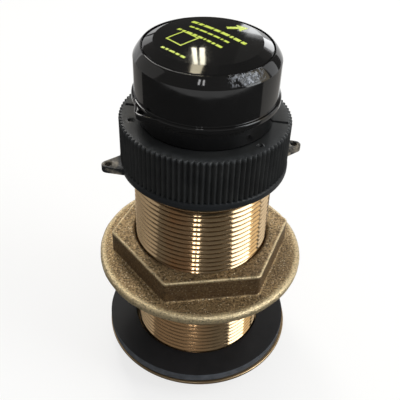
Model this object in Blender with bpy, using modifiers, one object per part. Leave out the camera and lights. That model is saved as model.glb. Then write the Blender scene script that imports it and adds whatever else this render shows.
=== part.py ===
"""Retractable through-hull sonar transducer, built piece by piece.

A bronze housing passes through a 51 mm hole in the hull and is clamped there by its
flange, a rubber washer and a hexagon hull nut. A plastic insert slides in the housing's
bore and carries the sounder element, a paddlewheel and a temperature probe. A knurled
cap nut on the housing's thread holds the insert down, and lifts it as it is unscrewed.

Units are metres. The axis of the stem is Z, and z = 0 is the outer surface of the hull,
where the top of the rubber washer lies.
"""

import math

import bmesh
import bpy
from mathutils import Euler, Vector

# Clearances
SEAT_GAP = 0.0003
SLIDE_GAP = 0.0004
CUT_PAST = 0.0020

# Bronze housing
STEM_RADIUS = 0.0254
STEM_WALL = 0.0045
STEM_HEIGHT = 0.0895
STEM_CHAMFER = 0.0008
FLANGE_WIDTH = 0.0125
FLANGE_RIM = 0.0012
FLANGE_CROWN = 0.0030
FLANGE_FLAT_WIDTH = 0.0041

# Rubber washer under the hull
WASHER_WIDTH = 0.0110
WASHER_THICKNESS = 0.0036
WASHER_EDGE = 0.0002
WASHER_PLAY = 0.0009
WASHER_SHIFT = Vector((-0.0004, 0.0002, 0.0))

# Cast hull nut, where the photograph shows it on the stem
NUT_STANDS_AT = 0.0336
NUT_HEIGHT = 0.0126
NUT_WALL = 0.0047
NUT_CORNER_RADIUS = 0.0015
NUT_TOP_EDGE = 0.0006
NUT_ROOT_FILLET = 0.0008
NUT_CORNER_ANGLE = math.radians(9.5)
NUT_FLANGE_WIDTH = 0.0097
NUT_FLANGE_HEIGHT = 0.0032
NUT_FLANGE_ROUND = 0.0015
NUT_LOWER_EDGE = 0.0006
NUT_MOUTH_CHAMFER = 0.0009

# Insert collar and the lip of the cap nut above it
COLLAR_INSET = 0.0002
COLLAR_HEIGHT = 0.0032
LIP_THICKNESS = 0.0040
LIP_OVER_COLLAR = 0.0027

# Knurled cap nut
CAP_NUT_HEIGHT = 0.0194
CAP_NUT_WALL = 0.0042
KNURL_COUNT = 96
KNURL_DEPTH = 0.0010
BAND_PROUD = 0.0002
BAND_HEIGHT = 0.0030
BAND_ROUND = 0.0009
EAR_ANGLE = math.radians(14.6)
EAR_LENGTH = 0.0068
EAR_ROOT_HALF_WIDTH = 0.0056
EAR_ROOT_SUNK = 0.0012
EAR_TIP_RADIUS = 0.0022
EAR_THICKNESS = 0.0026
EAR_BELOW_BAND_TOP = 0.0003
EAR_HOLE_RADIUS = 0.0012
EAR_HOLE_FROM_TIP = 0.0026
SLOT_LAG = math.radians(-23.0)
SLOT_WIDTH = 0.0012
SLOT_DEPTH = 0.0008
SLOT_FROM_RIM = 0.0016
GATE_COUNT = 3
GATE_ANGLE = math.radians(74.0)
GATE_RADIUS = 0.0009

# Insert body
INSERT_WALL = 0.0037
HEAD_PROUD = 0.0019
HEAD_BOSS_INSET = 0.0023
HEAD_BOSS_EDGE = 0.0008
SPIGOT_STEP = 0.0015
SPIGOT_TOP_HEIGHT = 0.0067
O_RING_SECTION = 0.0022
O_RING_SQUEEZE_GAP = 0.00025
O_RING_SIDE_GAP = 0.0003
LOWER_O_RING_UP = 0.0211
UPPER_O_RING_DOWN = 0.0095

# Insert cap, the black cup on top
NECK_WALL = 0.0021
NECK_HEIGHT = 0.0069
CAP_FLANGE_WIDTH = 0.0009
CAP_FLANGE_HEIGHT = 0.0023
CAP_FLANGE_ROUND = 0.0007
CAP_OVER_NECK = 0.0009
CAP_WALL = 0.0038
CAP_WALL_HEIGHT = 0.0126
CAP_SHOULDER_RISE = 0.0035
CAP_SHOULDER_INSET = 0.0025
CAP_SHOULDER_FULLNESS = 1.15
CAP_RIM_WIDTH = 0.0003
LOBE_ANGLE = math.radians(39.0)
LOBE_LENGTH = 0.0029
LOBE_TIP_RADIUS = 0.0032
LOBE_HALF_WIDTH = 0.0072
LOBE_ROOT_SUNK = 0.0015
LOBE_FACE_STEP = 0.0001
LOBE_HOLE_RADIUS = 0.00115
LOBE_HOLE_FROM_TIP = 0.0025

# Domed lid with its raised centre disc
LID_EDGE_HEIGHT = 0.0014
LID_LEDGE_DROP = 0.0019
LID_SLOPE_WIDTH = 0.0034
LID_CREASE_RISE = 0.0017
LID_CROWN_RISE = 0.0012
LID_SLOPE_CURVE = 1.3
LID_SKIN = 0.0018
LID_SKIRT = 0.0022

# Paddlewheel in the sensor head
HEAD_SIDE_WALL = 0.0030
WELL_PAST_MIDDLE = 0.0015
WHEEL_WIDTH = 0.0070
WHEEL_AXIS_UP = 0.0035
WHEEL_HUB_RADIUS = 0.0033
WHEEL_CLEARANCE = 0.0010
WHEEL_SIDE_GAP = 0.0005
BLADE_COUNT = 4
BLADE_THICKNESS = 0.0034
BLADE_SWEEP = math.radians(26.0)
BLADE_STEPS = 6
SHAFT_RADIUS = 0.00125
SHAFT_SEAT_DEPTH = 0.0042
MAGNET_RADIUS = 0.0008
MAGNET_LENGTH = 0.0030
MAGNET_FROM_TIP = 0.0021
MAGNET_FROM_SIDE = 0.0005
HEAD_FLOOR = 0.0015

# Depth element behind its acoustic window
PIEZO_SIDE_WALL = 0.0032
PIEZO_PARTITION = 0.0012
PIEZO_THICKNESS = 0.0030
WINDOW_THICKNESS = 0.0024
BACKING_THICKNESS = 0.0050
POCKET_SIDE_GAP = 0.0005
LEAD_RADIUS = 0.00035
LEAD_SPACING = 0.0014
LEAD_FROM_EDGE = 0.0012
LEAD_DUCT_RADIUS = 0.0013
LEAD_STRAIGHT_UP = 0.0040
LEAD_LANDS_UP_BOARD = 0.0030
LEAD_ON_BOARD = 0.0020
LEAD_STEPS = 6

# Temperature probe
PROBE_BEARING = math.radians(28.0)
PROBE_FROM_WALL = 0.0034
PROBE_SHANK_RADIUS = 0.0018
PROBE_HEAD_RADIUS = 0.0026
PROBE_HEAD_HEIGHT = 0.0011
PROBE_TIP_RADIUS = 0.0018
PROBE_RIM = 0.0004
PROBE_INSIDE = 0.0030

# Circuit board in its two rails
BOARD_FROM_WALL = 0.0021
BOARD_THICKNESS = 0.0016
BOARD_BOTTOM = 0.0143
BOARD_HEIGHT = 0.0580
RAIL_REACH = 0.0018
RAIL_HALF_WIDTH = 0.0026
RAIL_ABOVE_BOARD = 0.0030
CHIP_SIZE = 0.0110
CHIP_THICKNESS = 0.0012
CHIP_UP_BOARD = 0.0300
CORE_RADIUS = 0.0050
CORE_HEIGHT = 0.0070
CORE_UP_BOARD = 0.0160
CAPACITOR_RADIUS = 0.0030
CAPACITOR_LENGTH = 0.0110
CAPACITOR_UP_BOARD = 0.0370
HEADER_SIZE = Vector((0.0120, 0.0055, 0.0060))
HEADER_DOWN_BOARD = 0.0060
SENSOR_SIZE = Vector((0.0041, 0.0016, 0.0031))
SENSOR_LEG = 0.0005
SENSOR_LEG_PITCH = 0.00127
SENSOR_LEG_LENGTH = 0.0050

# Cable gland on the rear of the cap
GLAND_UP_WALL = 0.0042
GLAND_BOSS_RADIUS = 0.0054
GLAND_BOSS_LENGTH = 0.0019
GLAND_SHANK_RADIUS = 0.0041
GLAND_BORE = 0.0034
GLAND_HEX_RADIUS = 0.0056
GLAND_HEX_HEIGHT = 0.0026
GLAND_CAP_LENGTH = 0.0042
GLAND_CAP_RADIUS = 0.0050
GLAND_CAP_WALL = 0.0010

# Facets round one turn
LARGE_TURN = 56
MEDIUM_TURN = 36
SMALL_TURN = 20

# Radii that follow from the sizes above
stem_bore = STEM_RADIUS - STEM_WALL
thread_bore = STEM_RADIUS + SEAT_GAP
washer_bore = STEM_RADIUS + WASHER_PLAY
washer_radius = washer_bore + WASHER_WIDTH
flange_radius = STEM_RADIUS + FLANGE_WIDTH
flange_flat_radius = stem_bore + FLANGE_FLAT_WIDTH
nut_half_flats = thread_bore + NUT_WALL
nut_flange_radius = nut_half_flats + NUT_FLANGE_WIDTH
insert_radius = stem_bore - SLIDE_GAP
cavity_radius = insert_radius - INSERT_WALL
head_boss_radius = insert_radius - HEAD_BOSS_INSET
wheel_well_radius = (insert_radius - HEAD_SIDE_WALL + WELL_PAST_MIDDLE) / 2
wheel_radius = wheel_well_radius - WHEEL_CLEARANCE
wheel_ahead = wheel_well_radius - WELL_PAST_MIDDLE
pocket_ahead = WELL_PAST_MIDDLE + PIEZO_PARTITION
pocket_radius = (insert_radius - PIEZO_SIDE_WALL - pocket_ahead) / 2
piezo_radius = pocket_radius - POCKET_SIDE_GAP
piezo_astern = pocket_ahead + pocket_radius
lead_astern = piezo_astern + piezo_radius - LEAD_FROM_EDGE
probe_from_axis = cavity_radius - PROBE_FROM_WALL
collar_radius = STEM_RADIUS - COLLAR_INSET
spigot_radius = collar_radius - LIP_OVER_COLLAR
lip_bore = spigot_radius + SLIDE_GAP
knurl_radius = thread_bore + CAP_NUT_WALL
knurl_root = knurl_radius - KNURL_DEPTH
band_radius = knurl_radius + BAND_PROUD
ear_reach = band_radius + EAR_LENGTH
slot_outer_radius = knurl_radius - SLOT_FROM_RIM
spigot_top_radius = spigot_radius - SPIGOT_STEP
cap_bore = spigot_top_radius + SEAT_GAP
neck_radius = cap_bore + NECK_WALL
cap_radius = neck_radius + CAP_OVER_NECK
cap_cavity_radius = cap_radius - CAP_WALL
cap_flange_radius = cap_radius + CAP_FLANGE_WIDTH
cap_rim_radius = cap_radius - CAP_SHOULDER_INSET
lobe_reach = cap_flange_radius + LOBE_LENGTH
lid_seat_radius = cap_rim_radius - CAP_RIM_WIDTH
lid_radius = lid_seat_radius - SEAT_GAP
lid_crease_radius = lid_radius - LID_SLOPE_WIDTH
board_half_width = cavity_radius - BOARD_FROM_WALL
gland_boss_reach = cap_radius + GLAND_BOSS_LENGTH

# Heights that follow from the sizes above
flange_top = -WASHER_THICKNESS - SEAT_GAP
flange_rim_z = flange_top - FLANGE_RIM
flange_face = flange_rim_z - FLANGE_CROWN
nut_flange_top = NUT_STANDS_AT + NUT_FLANGE_HEIGHT
nut_top = NUT_STANDS_AT + NUT_HEIGHT
collar_bottom = STEM_HEIGHT + SEAT_GAP
collar_top = collar_bottom + COLLAR_HEIGHT
lip_bottom = collar_top + SEAT_GAP
cap_nut_top = lip_bottom + LIP_THICKNESS
cap_nut_bottom = cap_nut_top - CAP_NUT_HEIGHT
band_top = cap_nut_bottom + BAND_HEIGHT
cap_bottom = cap_nut_top + SEAT_GAP
spigot_step = cap_bottom - SEAT_GAP
spigot_top = spigot_step + SPIGOT_TOP_HEIGHT
cap_flange_bottom = cap_bottom + NECK_HEIGHT
cap_flange_top = cap_flange_bottom + CAP_FLANGE_HEIGHT
shoulder_bottom = cap_flange_top + CAP_WALL_HEIGHT
shoulder_top = shoulder_bottom + CAP_SHOULDER_RISE
lid_ledge = shoulder_top - LID_LEDGE_DROP
lid_bottom = lid_ledge + SEAT_GAP
lid_edge_top = lid_bottom + LID_EDGE_HEIGHT
lid_crease = lid_edge_top + LID_CREASE_RISE
lid_crown = lid_crease + LID_CROWN_RISE
head_face = flange_face - HEAD_PROUD
lower_o_ring_z = flange_face + LOWER_O_RING_UP
upper_o_ring_z = STEM_HEIGHT - UPPER_O_RING_DOWN
wheel_axis_z = head_face + WHEEL_AXIS_UP
cavity_floor = wheel_axis_z + wheel_well_radius + HEAD_FLOOR
window_top = head_face + WINDOW_THICKNESS
piezo_bottom = window_top + SEAT_GAP
piezo_top = piezo_bottom + PIEZO_THICKNESS
backing_bottom = piezo_top + SEAT_GAP
backing_top = backing_bottom + BACKING_THICKNESS
pocket_top = backing_top + SEAT_GAP
board_top = BOARD_BOTTOM + BOARD_HEIGHT
board_face = BOARD_THICKNESS / 2
gland_height = cap_flange_top + GLAND_UP_WALL
gland_face = gland_boss_reach + SEAT_GAP
gland_hex_end = gland_face + GLAND_HEX_HEIGHT


# Places in the sensor head

def polar(radius, angle):
    return (radius * math.cos(angle), radius * math.sin(angle))


probe_at = polar(probe_from_axis, PROBE_BEARING)


# Scene, collections and materials

def start_empty_scene():
    """Remove whatever the file opened with, and make the two collections."""
    for item in list(bpy.data.objects):
        bpy.data.objects.remove(item, do_unlink=True)
    parts = bpy.data.collections.new("sonar_transducer")
    tools = bpy.data.collections.new("cutters")
    bpy.context.scene.collection.children.link(parts)
    bpy.context.scene.collection.children.link(tools)
    return parts, tools


def make_material(name, colour, roughness, metallic=0.0):
    """One Principled surface with a plain colour."""
    surface = bpy.data.materials.new(name)
    surface.use_nodes = True
    shader = surface.node_tree.nodes["Principled BSDF"]
    shader.inputs["Base Color"].default_value = (*colour, 1.0)
    shader.inputs["Roughness"].default_value = roughness
    shader.inputs["Metallic"].default_value = metallic
    return surface


PARTS, TOOLS = start_empty_scene()
CAST_BRONZE = make_material("cast_bronze", (0.42, 0.26, 0.12), 0.45, 1.0)
TURNED_BRONZE = make_material("turned_bronze", (0.55, 0.35, 0.15), 0.25, 1.0)
BLACK_RUBBER = make_material("black_rubber", (0.015, 0.016, 0.017), 0.75)
MATT_PLASTIC = make_material("matt_black_plastic", (0.014, 0.015, 0.015), 0.55)
GLOSS_PLASTIC = make_material("gloss_black_plastic", (0.008, 0.008, 0.008), 0.12)
WHEEL_PLASTIC = make_material("white_wheel_plastic", (0.65, 0.65, 0.62), 0.45)
STEEL = make_material("stainless_steel", (0.60, 0.60, 0.58), 0.25, 1.0)
MAGNET = make_material("magnet_nickel", (0.50, 0.48, 0.45), 0.30, 1.0)
CERAMIC = make_material("piezo_ceramic", (0.70, 0.62, 0.48), 0.60)
URETHANE = make_material("window_urethane", (0.05, 0.05, 0.05), 0.30)
CORK = make_material("backing_cork", (0.35, 0.22, 0.12), 0.85)
BOARD_GREEN = make_material("board_green", (0.02, 0.16, 0.06), 0.40)
CHIP_BLACK = make_material("chip_black", (0.02, 0.02, 0.02), 0.50)
FERRITE = make_material("ferrite", (0.06, 0.06, 0.07), 0.60)
FOIL = make_material("capacitor_foil", (0.45, 0.46, 0.50), 0.35, 1.0)
WIRE_RED = make_material("wire_red", (0.45, 0.03, 0.02), 0.50)


# Making solids

def place(item, surface, tool=False):
    """Link an object as a piece of the product, or as a cutter that never shows."""
    if tool:
        TOOLS.objects.link(item)
        item.hide_render = True
        item.display_type = "WIRE"
        return item
    PARTS.objects.link(item)
    item.data.materials.append(surface)
    return item


def object_from(name, shape, surface, tool, location=(0, 0, 0)):
    """Turn a bmesh into a placed object and free the bmesh."""
    mesh = bpy.data.meshes.new(name)
    shape.to_mesh(mesh)
    shape.free()
    item = bpy.data.objects.new(name, mesh)
    item.location = location
    return place(item, surface, tool)


def arc(centre, radius, start, end, steps):
    """Points of an arc in the plane of a profile, angles in degrees."""
    points = []
    for step in range(steps + 1):
        angle = math.radians(start + (end - start) * step / steps)
        points.append((centre[0] + radius * math.cos(angle), centre[1] + radius * math.sin(angle)))
    return points


def turned(name, profile, surface=None, steps=LARGE_TURN, tool=False, location=(0, 0, 0),
           rotation=(0, 0, 0)):
    """Spin a profile of (radius, height) points round the local Z axis.

    The profile runs down its outer side. It closes on itself unless it starts and ends on
    the axis.
    """
    shape = bmesh.new()
    corners = [shape.verts.new((radius, 0, height)) for radius, height in profile]
    for first, second in zip(corners, corners[1:]):
        shape.edges.new((first, second))
    on_axis = profile[0][0] == 0 and profile[-1][0] == 0
    if not on_axis:
        shape.edges.new((corners[-1], corners[0]))
    item = object_from(name, shape, surface, tool, location)
    item.rotation_euler = Euler(rotation)
    spin = item.modifiers.new("Spin", "SCREW")
    spin.axis = "Z"
    spin.angle = math.tau
    spin.steps = steps
    spin.render_steps = steps
    spin.use_merge_vertices = True
    spin.merge_threshold = 0.000001
    spin.use_smooth_shade = True
    return item


def rod(name, radius, low, high, surface=None, steps=SMALL_TURN, tool=False, location=(0, 0, 0),
        rotation=(0, 0, 0)):
    """A plain round rod along the local Z axis."""
    return turned(name, [(0, high), (radius, high), (radius, low), (0, low)], surface, steps, tool,
                  location, rotation)


def block(name, low, high, surface=None, tool=False):
    """A rectangular block between two corners."""
    low, high = Vector(low), Vector(high)
    shape = bmesh.new()
    bmesh.ops.create_cube(shape, size=1.0)
    bmesh.ops.scale(shape, vec=high - low, verts=shape.verts)
    return object_from(name, shape, surface, tool, (low + high) / 2)


def stacked_outlines(name, outlines, surface=None, tool=False):
    """Skin a stack of like outlines, each a list of (x, y, z), from bottom to top."""
    shape = bmesh.new()
    rings = [[shape.verts.new(point) for point in outline] for outline in outlines]
    count = len(rings[0])
    for lower, upper in zip(rings, rings[1:]):
        for index in range(count):
            after = (index + 1) % count
            shape.faces.new((lower[index], lower[after], upper[after], upper[index]))
    shape.faces.new(reversed(rings[0]))
    shape.faces.new(rings[-1])
    return object_from(name, shape, surface, tool)


def plate(name, outline, low, high, surface=None, tool=False):
    """Extrude a flat outline, counter-clockwise from above, between two heights."""
    levels = [[(x, y, height) for x, y in outline] for height in (low, high)]
    return stacked_outlines(name, levels, surface, tool)


def wire(name, route, radius, surface):
    """A round wire along a list of points."""
    curve = bpy.data.curves.new(name, "CURVE")
    curve.dimensions = "3D"
    curve.bevel_depth = radius
    curve.bevel_resolution = 1
    curve.use_fill_caps = True
    spline = curve.splines.new("POLY")
    spline.points.add(len(route) - 1)
    for point, where in zip(spline.points, route):
        point.co = (*where, 1)
    return place(bpy.data.objects.new(name, curve), surface)


def combine(item, other, operation, label):
    """Put a Boolean on a piece."""
    boolean = item.modifiers.new(label, "BOOLEAN")
    boolean.operation = operation
    boolean.object = other
    boolean.solver = "EXACT"


def cut(item, cutter):
    combine(item, cutter, "DIFFERENCE", "Cut " + cutter.name)


def join(item, addition):
    combine(item, addition, "UNION", "Join " + addition.name)


def turn_points(points, angle):
    """Turn (x, y) points about the origin."""
    cosine, sine = math.cos(angle), math.sin(angle)
    return [(x * cosine - y * sine, x * sine + y * cosine) for x, y in points]


# Bronze housing: a stem with an external thread, and a low flange with a crowned face

def housing():
    crown_steps = 3
    half_rim = FLANGE_RIM / 2
    rim_centre = (flange_radius - half_rim, flange_top - half_rim)
    profile = [
        (stem_bore, STEM_HEIGHT),
        (STEM_RADIUS - STEM_CHAMFER, STEM_HEIGHT),
        (STEM_RADIUS, STEM_HEIGHT - STEM_CHAMFER),
        (STEM_RADIUS, flange_top),
    ]
    profile += arc(rim_centre, half_rim, 90, -90, 3)
    for step in range(1, crown_steps + 1):
        inward = 1 - step / crown_steps
        radius = flange_flat_radius + (rim_centre[0] - flange_flat_radius) * inward
        profile.append((radius, flange_rim_z - FLANGE_CROWN * (1 - inward ** 2)))
    profile += [
        (stem_bore + STEM_CHAMFER, flange_face),
        (stem_bore, flange_face + STEM_CHAMFER),
    ]
    return turned("housing", profile, TURNED_BRONZE)


# Rubber washer, lying loose on the flange

def hull_washer():
    low = -WASHER_THICKNESS
    profile = [
        (washer_bore, 0.0),
        (washer_radius - WASHER_EDGE, 0.0),
        (washer_radius, -WASHER_EDGE),
        (washer_radius, low + WASHER_EDGE),
        (washer_radius - WASHER_EDGE, low),
        (washer_bore, low),
    ]
    return turned("hull_washer", profile, BLACK_RUBBER, location=WASHER_SHIFT)


# Cast hull nut: a rounded hexagon growing out of a round flange

def rounded_hexagon(half_flats, corner_radius, height):
    """One level of the hexagon, counter-clockwise, with each corner as an arc."""
    corner_steps = 3
    centre_distance = (half_flats - corner_radius) / math.cos(math.pi / 6)
    points = []
    for corner in range(6):
        direction = NUT_CORNER_ANGLE + corner * math.pi / 3
        centre = polar(centre_distance, direction)
        for step in range(corner_steps + 1):
            angle = direction - math.pi / 6 + math.pi / 3 * step / corner_steps
            edge = polar(corner_radius, angle)
            points.append((centre[0] + edge[0], centre[1] + edge[1], height))
    return points


def hull_nut():
    fillet_steps = 3
    levels = [rounded_hexagon(nut_half_flats + NUT_ROOT_FILLET, NUT_CORNER_RADIUS + NUT_ROOT_FILLET,
                              nut_flange_top - SEAT_GAP)]
    for step in range(fillet_steps + 1):
        sweep = math.pi / 2 * step / fillet_steps
        spread = NUT_ROOT_FILLET * (1 - math.sin(sweep))
        rise = NUT_ROOT_FILLET * (1 - math.cos(sweep))
        levels.append(rounded_hexagon(nut_half_flats + spread, NUT_CORNER_RADIUS + spread,
                                      nut_flange_top + rise))
    for step in range(fillet_steps + 1):
        sweep = math.pi / 2 * step / fillet_steps
        draw_in = NUT_TOP_EDGE * (1 - math.cos(sweep))
        rise = NUT_TOP_EDGE * math.sin(sweep)
        levels.append(rounded_hexagon(nut_half_flats - draw_in, NUT_CORNER_RADIUS - draw_in,
                                      nut_top - NUT_TOP_EDGE + rise))
    hexagon = stacked_outlines("hull_nut_hexagon", levels, tool=True)

    disc = [(0, nut_flange_top)]
    disc += arc((nut_flange_radius - NUT_FLANGE_ROUND, nut_flange_top - NUT_FLANGE_ROUND),
                NUT_FLANGE_ROUND, 90, 0, 4)
    disc += [
        (nut_flange_radius, NUT_STANDS_AT + NUT_LOWER_EDGE),
        (nut_flange_radius - NUT_LOWER_EDGE, NUT_STANDS_AT),
        (0, NUT_STANDS_AT),
    ]
    nut = turned("hull_nut", disc, CAST_BRONZE)
    join(nut, hexagon)

    past = NUT_MOUTH_CHAMFER
    bore_profile = [
        (0, nut_top + past),
        (thread_bore + NUT_MOUTH_CHAMFER + past, nut_top + past),
        (thread_bore, nut_top - NUT_MOUTH_CHAMFER),
        (thread_bore, NUT_STANDS_AT + NUT_MOUTH_CHAMFER),
        (thread_bore + NUT_MOUTH_CHAMFER + past, NUT_STANDS_AT - past),
        (0, NUT_STANDS_AT - past),
    ]
    cut(nut, turned("hull_nut_bore", bore_profile, tool=True))
    return nut


# Knurled cap nut with two wire ears and the lip that traps the insert

def tab_outline(reach, tip_radius, half_width, root):
    """A tab along +X: straight sides that taper from the root to a round tip."""
    tip_steps = 6
    centre = reach - tip_radius
    distance = math.hypot(centre - root, half_width)
    lean = math.atan2(half_width, centre - root) - math.asin(tip_radius / distance)
    tangent = math.pi / 2 - lean
    points = [(root, -half_width)]
    for step in range(tip_steps + 1):
        angle = -tangent + 2 * tangent * step / tip_steps
        points.append((centre + tip_radius * math.cos(angle), tip_radius * math.sin(angle)))
    points.append((root, half_width))
    inside = root - CUT_PAST
    return points + [(inside, half_width), (inside, -half_width)]


def cap_nut():
    knurls = []
    for tooth in range(KNURL_COUNT):
        pitch_angle = math.tau / KNURL_COUNT
        knurls.append(polar(knurl_radius, tooth * pitch_angle))
        knurls.append(polar(knurl_root, (tooth + 0.5) * pitch_angle))
    sunk = BAND_HEIGHT / 2
    nut = plate("cap_nut", knurls, band_top - sunk, cap_nut_top, MATT_PLASTIC)

    band = [(0, band_top)]
    band += arc((band_radius - BAND_ROUND, band_top - BAND_ROUND), BAND_ROUND, 90, 0, 1)
    band += arc((band_radius - BAND_ROUND, cap_nut_bottom + BAND_ROUND), BAND_ROUND, 0, -90, 1)
    band.append((0, cap_nut_bottom))
    join(nut, turned("cap_nut_band", band, tool=True))

    ear_low = band_top - EAR_BELOW_BAND_TOP - EAR_THICKNESS
    outline = tab_outline(ear_reach, EAR_TIP_RADIUS, EAR_ROOT_HALF_WIDTH,
                          band_radius - EAR_ROOT_SUNK)
    for side in range(2):
        angle = EAR_ANGLE + side * math.pi
        join(nut, plate(f"cap_nut_ear_{side}", turn_points(outline, angle), ear_low,
                        ear_low + EAR_THICKNESS, tool=True))
        at = (*polar(ear_reach - EAR_HOLE_FROM_TIP, angle), 0)
        cut(nut, rod(f"ear_hole_{side}", EAR_HOLE_RADIUS, ear_low - CUT_PAST,
                     ear_low + EAR_THICKNESS + CUT_PAST, steps=12, tool=True, location=at))

    bore_profile = [
        (0, cap_nut_top + CUT_PAST),
        (lip_bore, cap_nut_top + CUT_PAST),
        (lip_bore, lip_bottom),
        (thread_bore, lip_bottom),
        (thread_bore, cap_nut_bottom + BAND_ROUND),
        (thread_bore + 2 * BAND_ROUND, cap_nut_bottom - BAND_ROUND),
        (0, cap_nut_bottom - BAND_ROUND),
    ]
    cut(nut, turned("cap_nut_bore", bore_profile, tool=True))

    slot_floor = cap_nut_top - SLOT_DEPTH
    slot_outline = [
        (lip_bore - CUT_PAST, -SLOT_WIDTH / 2),
        (slot_outer_radius, -SLOT_WIDTH / 2),
        (slot_outer_radius, SLOT_WIDTH / 2),
        (lip_bore - CUT_PAST, SLOT_WIDTH / 2),
    ]
    for side in range(2):
        angle = EAR_ANGLE + SLOT_LAG + side * math.pi
        cut(nut, plate(f"cap_nut_slot_{side}", turn_points(slot_outline, angle), slot_floor,
                       cap_nut_top + CUT_PAST, tool=True))
    gate_circle = (lip_bore + knurl_root) / 2
    for gate in range(GATE_COUNT):
        at = (*polar(gate_circle, GATE_ANGLE + gate * math.tau / GATE_COUNT), 0)
        cut(nut, rod(f"cap_nut_gate_{gate}", GATE_RADIUS, slot_floor, cap_nut_top + CUT_PAST,
                     steps=10, tool=True, location=at))
    return nut


# Insert body: a closed-end tube with the sensor head at its foot

def o_ring_sizes():
    """Centre radius of an O-ring, its groove's floor radius and half the groove's height."""
    outer = stem_bore - O_RING_SQUEEZE_GAP
    centre = outer - O_RING_SECTION / 2
    floor = outer - O_RING_SECTION - O_RING_SQUEEZE_GAP
    return centre, floor, O_RING_SECTION / 2 + O_RING_SIDE_GAP


def insert_body():
    _, groove_floor, half_groove = o_ring_sizes()
    profile = [
        (0, cavity_floor),
        (cavity_radius, cavity_floor),
        (cavity_radius, spigot_top),
        (spigot_top_radius, spigot_top),
        (spigot_top_radius, spigot_step),
        (spigot_radius, spigot_step),
        (spigot_radius, collar_top),
        (collar_radius, collar_top),
        (collar_radius, collar_bottom),
        (insert_radius, collar_bottom),
    ]
    for at in (upper_o_ring_z, lower_o_ring_z):
        profile += [
            (insert_radius, at + half_groove),
            (groove_floor, at + half_groove),
            (groove_floor, at - half_groove),
            (insert_radius, at - half_groove),
        ]
    profile += [
        (insert_radius, flange_face),
        (head_boss_radius, flange_face),
        (head_boss_radius, head_face + HEAD_BOSS_EDGE),
        (head_boss_radius - HEAD_BOSS_EDGE, head_face),
        (0, head_face),
    ]
    body = turned("insert_body", profile, MATT_PLASTIC, MEDIUM_TURN)

    slot_depth = BOARD_THICKNESS / 2 + SEAT_GAP
    slot_reach = board_half_width + SEAT_GAP
    slot_mouth = slot_reach - RAIL_REACH
    rail_top = board_top + RAIL_ABOVE_BOARD
    into_wall = cavity_radius + INSERT_WALL / 3
    into_floor = cavity_floor - HEAD_FLOOR / 2
    for side, sign in (("port", -1), ("starboard", 1)):
        ends = sorted((sign * slot_mouth, sign * into_wall))
        join(body, block(f"rail_{side}", (ends[0], -RAIL_HALF_WIDTH, into_floor),
                         (ends[1], RAIL_HALF_WIDTH, rail_top), tool=True))
    cut(body, block("board_slot", (-slot_reach, -slot_depth, BOARD_BOTTOM - SEAT_GAP),
                    (slot_reach, slot_depth, rail_top + CUT_PAST), tool=True))

    wheel_at = (0, -wheel_ahead, wheel_axis_z)
    along_x = (0, math.pi / 2, 0)
    half_well = WHEEL_WIDTH / 2 + WHEEL_SIDE_GAP
    half_seat = half_well + SHAFT_SEAT_DEPTH
    cut(body, rod("wheel_well", wheel_well_radius, -half_well, half_well, steps=36, tool=True,
                  location=wheel_at, rotation=along_x))
    cut(body, rod("shaft_seat", SHAFT_RADIUS + SEAT_GAP, -half_seat, half_seat, tool=True,
                  location=wheel_at, rotation=along_x))

    cut(body, rod("piezo_pocket", pocket_radius, head_face - CUT_PAST, pocket_top,
                  steps=32, tool=True, location=(0, piezo_astern, 0)))
    cut(body, rod("lead_duct", LEAD_DUCT_RADIUS, backing_bottom, cavity_floor + CUT_PAST,
                  steps=12, tool=True, location=(0, lead_astern, 0)))
    cut(body, rod("probe_hole", PROBE_SHANK_RADIUS + SEAT_GAP, head_face - CUT_PAST,
                  cavity_floor + CUT_PAST, tool=True, location=(*probe_at, 0)))
    return body


def o_ring(name, height):
    centre, _, _ = o_ring_sizes()
    section = arc((centre, 0), O_RING_SECTION / 2, 180, -120, 5)
    return turned(name, section, BLACK_RUBBER, MEDIUM_TURN, location=(0, 0, height))


# Insert cap: neck, flange with two wire lobes, and the cup that the lid closes

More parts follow.
